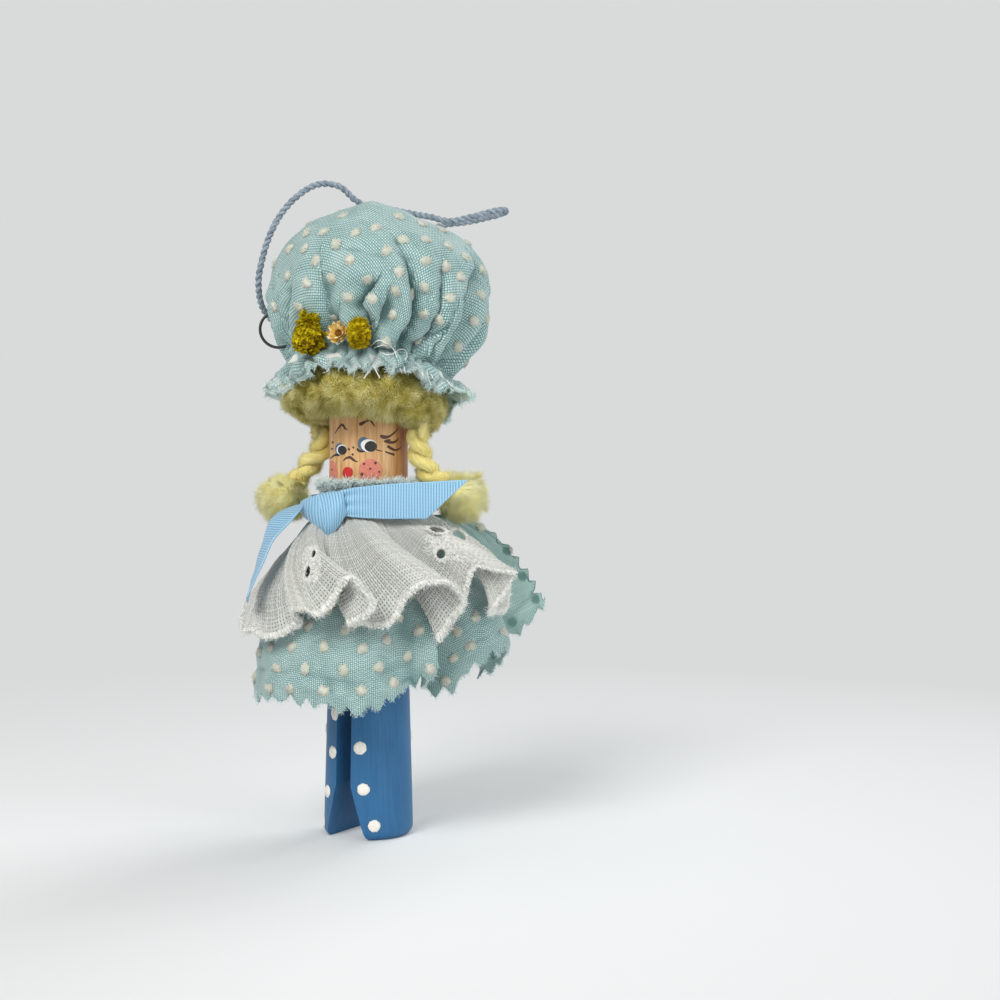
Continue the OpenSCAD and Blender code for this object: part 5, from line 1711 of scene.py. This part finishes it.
def ribbon(name, line, half, cut=0.0, pucker=0.0, step=0.075):
    """A length of ribbed ribbon along a line, with half its width as a vector at each place."""
    line, half = np.asarray(line, float), np.asarray(half, float)
    s = lengths(line)
    t = np.linspace(0, s[-1], int(s[-1] / step) + 2)
    k = np.interp(t, s, np.arange(len(line)))
    line, half = through(line, k), through(half, k)
    # The end is cut across at a slant over the length cut
    low = -1 + 1.96 * np.clip((t - s[-1]) / cut + 1, 0, 1) if cut else np.full(len(t), -1.0)
    v = 1 - (1 - np.linspace(1, -1, 27))[None] / 2 * (1 - low)[:, None]
    g = line[:, None] + half[:, None] * v[..., None]
    rib = np.where(np.abs(v) > 0.93, 0.75, np.abs(np.cos(math.pi * t / RIB))[:, None])
    nor = grid_normals(g, False)
    fading = np.exp(-np.maximum(t - 3.5, 0) / 2.2)[:, None]
    bend = noise3(g, 4.0, 3.0) * 0.25 + pucker * np.sin(9 * v) * fading
    g = g + nor * bend[..., None]
    uv = np.stack([np.broadcast_to(t[:, None], g.shape[:2]), v * norm(half, axis=1)[:, None],
                   np.zeros(g.shape[:2])], -1)
    return shell(name, g, RIBBON_CLOTH * (0.68 + 0.32 * rib), [RIBBON, RIBBON], uv=uv,
                 attrs={"rib": rib}, slot="ribbon")


BAND_R, BAND_Z = 9.88, 56.2
# The left tail in the photograph: its middle and half its width, in pixels
LEFT_TAIL = [(300, 506, 6), (291, 510, 11), (282, 518, 12.5), (274, 529, 9.5), (266, 546, 6.5),
             (258, 566, 4.5), (252, 584, 3.6), (246, 603, 2.2)]
PIXEL_MM = 0.17


def make_ribbon():
    """The band round the neck, its two tails and the knot."""
    a = np.radians(np.linspace(-9, 351, 120))
    dip = 0.25 * np.sin(3 * a)
    line = np.stack([np.sin(a) * BAND_R, -np.cos(a) * BAND_R, BAND_Z + dip], -1)
    band = ribbon("neck_ribbon_band", line, np.tile(UP, (len(a), 1)))
    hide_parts("neck_ribbon")
    # Tail that stands out to the right of the knot
    ahead = np.array([math.cos(math.radians(24)), math.sin(math.radians(24)), 0])
    arc = [around(np.array(x)) * 10.6 for x in np.linspace(-9, 24, 8)]
    line = np.array(arc + [arc[-1] + ahead * x for x in np.linspace(1.5, 18.4, 10)])
    far = norm(line[:, :2] - line[0, :2], axis=1)
    line[:, 2] = 55.8 + 0.7 * far / 23
    n = len(line)
    up = np.interp(np.arange(n), [0, 3, 6, 10, n - 1], [1.2, 1.7, 2.3, 2.85, 3.15])[:, None] * UP
    ribbon("neck_ribbon_tail_right", line, up, cut=6.6, pucker=0.28)
    # Tail that falls at the left, seen nearly edge-on. It lies on the apron, so its radius grows downward,
    # and it is never less than the distance at which the camera's ray passes the axis.
    k = np.linspace(0, len(LEFT_TAIL) - 1, 26)
    px, py, seen_half = through(LEFT_TAIL, k).T
    slope = (APRON_REACH - COLLAR_R) / (APRON_FALL - COLLAR_DROP)
    least = 11.3
    line = []
    for x, y in zip(px, py):
        ray = sight(x, y)
        beside = abs(np.cross(CAMERA[:2], ray[:2])) / norm(ray[:2]) * 1.04
        r = least
        for _ in range(8):
            arc, z = peg_place(x, y, r)
            r = max(least, beside, APRON_WAIST + 1.3 + max(0, WAIST_Z - z) * slope)
        line.append(on_peg(np.array([arc, z, 0.0]), r))
    line = np.array(line)
    for _ in range(12):
        line[1:-1] = (line[:-2] + 2 * line[1:-1] + line[2:]) / 4
    wide = seen_half * PIXEL_MM
    deep = np.sqrt(np.interp(k, [0, 1.5], [1.6, 3.0]) ** 2 - np.minimum(wide, 1.5) ** 2)
    half = -ASIDE * wide[:, None] + AHEAD * deep[:, None] * [1, 1, 0]
    ribbon("neck_ribbon_tail_left", line, half, cut=2.0)
    make_knot_of_ribbon()


def make_knot_of_ribbon():
    """The ribbon's knot: a length folded over the crossing, wide above and drawn to a point below."""
    top = [(297, 504), (306, 499), (318, 495), (331, 492), (343, 492)]
    low = [(299, 512), (312, 523), (327, 535), (337, 528), (347, 512)]
    n, m = 90, 40
    u, v = np.linspace(0, 1, n), np.linspace(0, 1, m)
    t = through(top, u * (len(top) - 1))
    b = through(low, u * (len(low) - 1))
    g = np.empty((n, m, 3))
    for i in range(n):
        along = math.sin(math.pi * min(max(u[i], 0.02), 0.98)) ** 0.5
        for j in range(m):
            px, py = t[i] * (1 - v[j]) + b[i] * v[j]
            swell = along * math.sin(math.pi * (0.06 + 0.88 * v[j])) ** 0.5
            r = 10.55 + 2.1 * swell + 0.16 * math.sin(7 * u[i] + 5 * v[j])
            s, z = peg_place(px, py, r)
            g[i, j] = [math.sin(s / r) * r, -math.cos(s / r) * r, z]
    U, V = np.meshgrid(u, v, indexing="ij")
    turn = (U - 0.5) * 8.2 + 1.4 * (V - 0.5) ** 2 * np.sign(U - 0.5) + 0.8 * V
    rib = np.abs(np.cos(math.pi * turn / RIB))
    uv = np.stack([turn, V * 7, turn * 0], -1)
    shell("neck_ribbon_knot", g, RIBBON_CLOTH * (0.45 + 0.55 * rib), [RIBBON, RIBBON], uv=uv,
          attrs={"rib": rib}, slot="ribbon")


make_ribbon()


# Floor, backdrop and light
BACKDROP = "D9DBDB"
SKY, SKY_STRENGTH = (0.96, 0.98, 1.0, 1), 0.36
# Lamps: place in metres, size, power and colour; all point at the middle of the doll
LAMPS = {"key": ((0.06, -0.56, 0.48), 0.3, 3.2, (1.0, 0.985, 0.96)),
         "fill": ((0.65, -0.15, 0.2), 0.5, 1.5, (0.95, 0.98, 1.0)),
         "back": ((0.1, 0.6, 0.45), 0.5, 2.6, (1.0, 1.0, 1.0))}
AIM = Vector((0, 0, 0.06))


def make_floor():
    """A pale floor that turns into the backdrop's colour away from the doll, where the camera sees it."""
    bpy.ops.mesh.primitive_circle_add(vertices=96, radius=6, fill_type="NGON")
    floor = bpy.context.object
    floor.name = "floor"
    m = Mat("floor", 0.9, Specular_IOR_Level=0.1)
    m.done("EEF0F0")
    far = m.node("VectorMath", m.coords(), operation="LENGTH").outputs["Value"]
    share = m.ramp(far, (0.06, 0.0), (0.25, 1.0))
    glow = m.node("Emission", rgb(BACKDROP), 1.0)
    seen_by = m.node("LightPath").outputs["Is Camera Ray"]
    mix = m.node("MixShader", m.math("MULTIPLY", share, seen_by), m.bsdf.outputs[0], glow.outputs[0])
    m.tree.links.new(mix.outputs[0], m.tree.nodes["Material Output"].inputs[0])
    floor.data.materials.append(m.mat)


def make_world():
    """A soft sky for the light, and the plain backdrop for the camera and for reflections."""
    world = bpy.data.worlds.new("world")
    bpy.context.scene.world = world
    world.use_nodes = True
    tree = world.node_tree
    tree.nodes.clear()
    out, mix, path, both, light, back = [
        tree.nodes.new("ShaderNode" + kind) for kind in
        ("OutputWorld", "MixShader", "LightPath", "Math", "Background", "Background")]
    for node, colour, strength in ((light, SKY, SKY_STRENGTH), (back, rgb(BACKDROP), 1.0)):
        node.inputs[0].default_value = colour
        node.inputs[1].default_value = strength
    both.operation = "MAXIMUM"
    for start, end in ((path.outputs["Is Camera Ray"], both.inputs[0]),
                       (path.outputs["Is Glossy Ray"], both.inputs[1]), (both.outputs[0], mix.inputs[0]),
                       (light.outputs[0], mix.inputs[1]), (back.outputs[0], mix.inputs[2]),
                       (mix.outputs[0], out.inputs[0])):
        tree.links.new(start, end)


def make_lamp(name, place, size, power, colour):
    data = bpy.data.lights.new(name, "AREA")
    data.size = size
    data.energy = power
    data.color = colour
    obj = bpy.data.objects.new(name, data)
    bpy.context.scene.collection.objects.link(obj)
    obj.location = place
    obj.rotation_euler = (AIM - Vector(place)).to_track_quat("-Z", "Y").to_euler()


make_floor()
make_world()
for name, lamp in LAMPS.items():
    make_lamp(name, *lamp)
bpy.context.scene.view_settings.view_transform = "Standard"
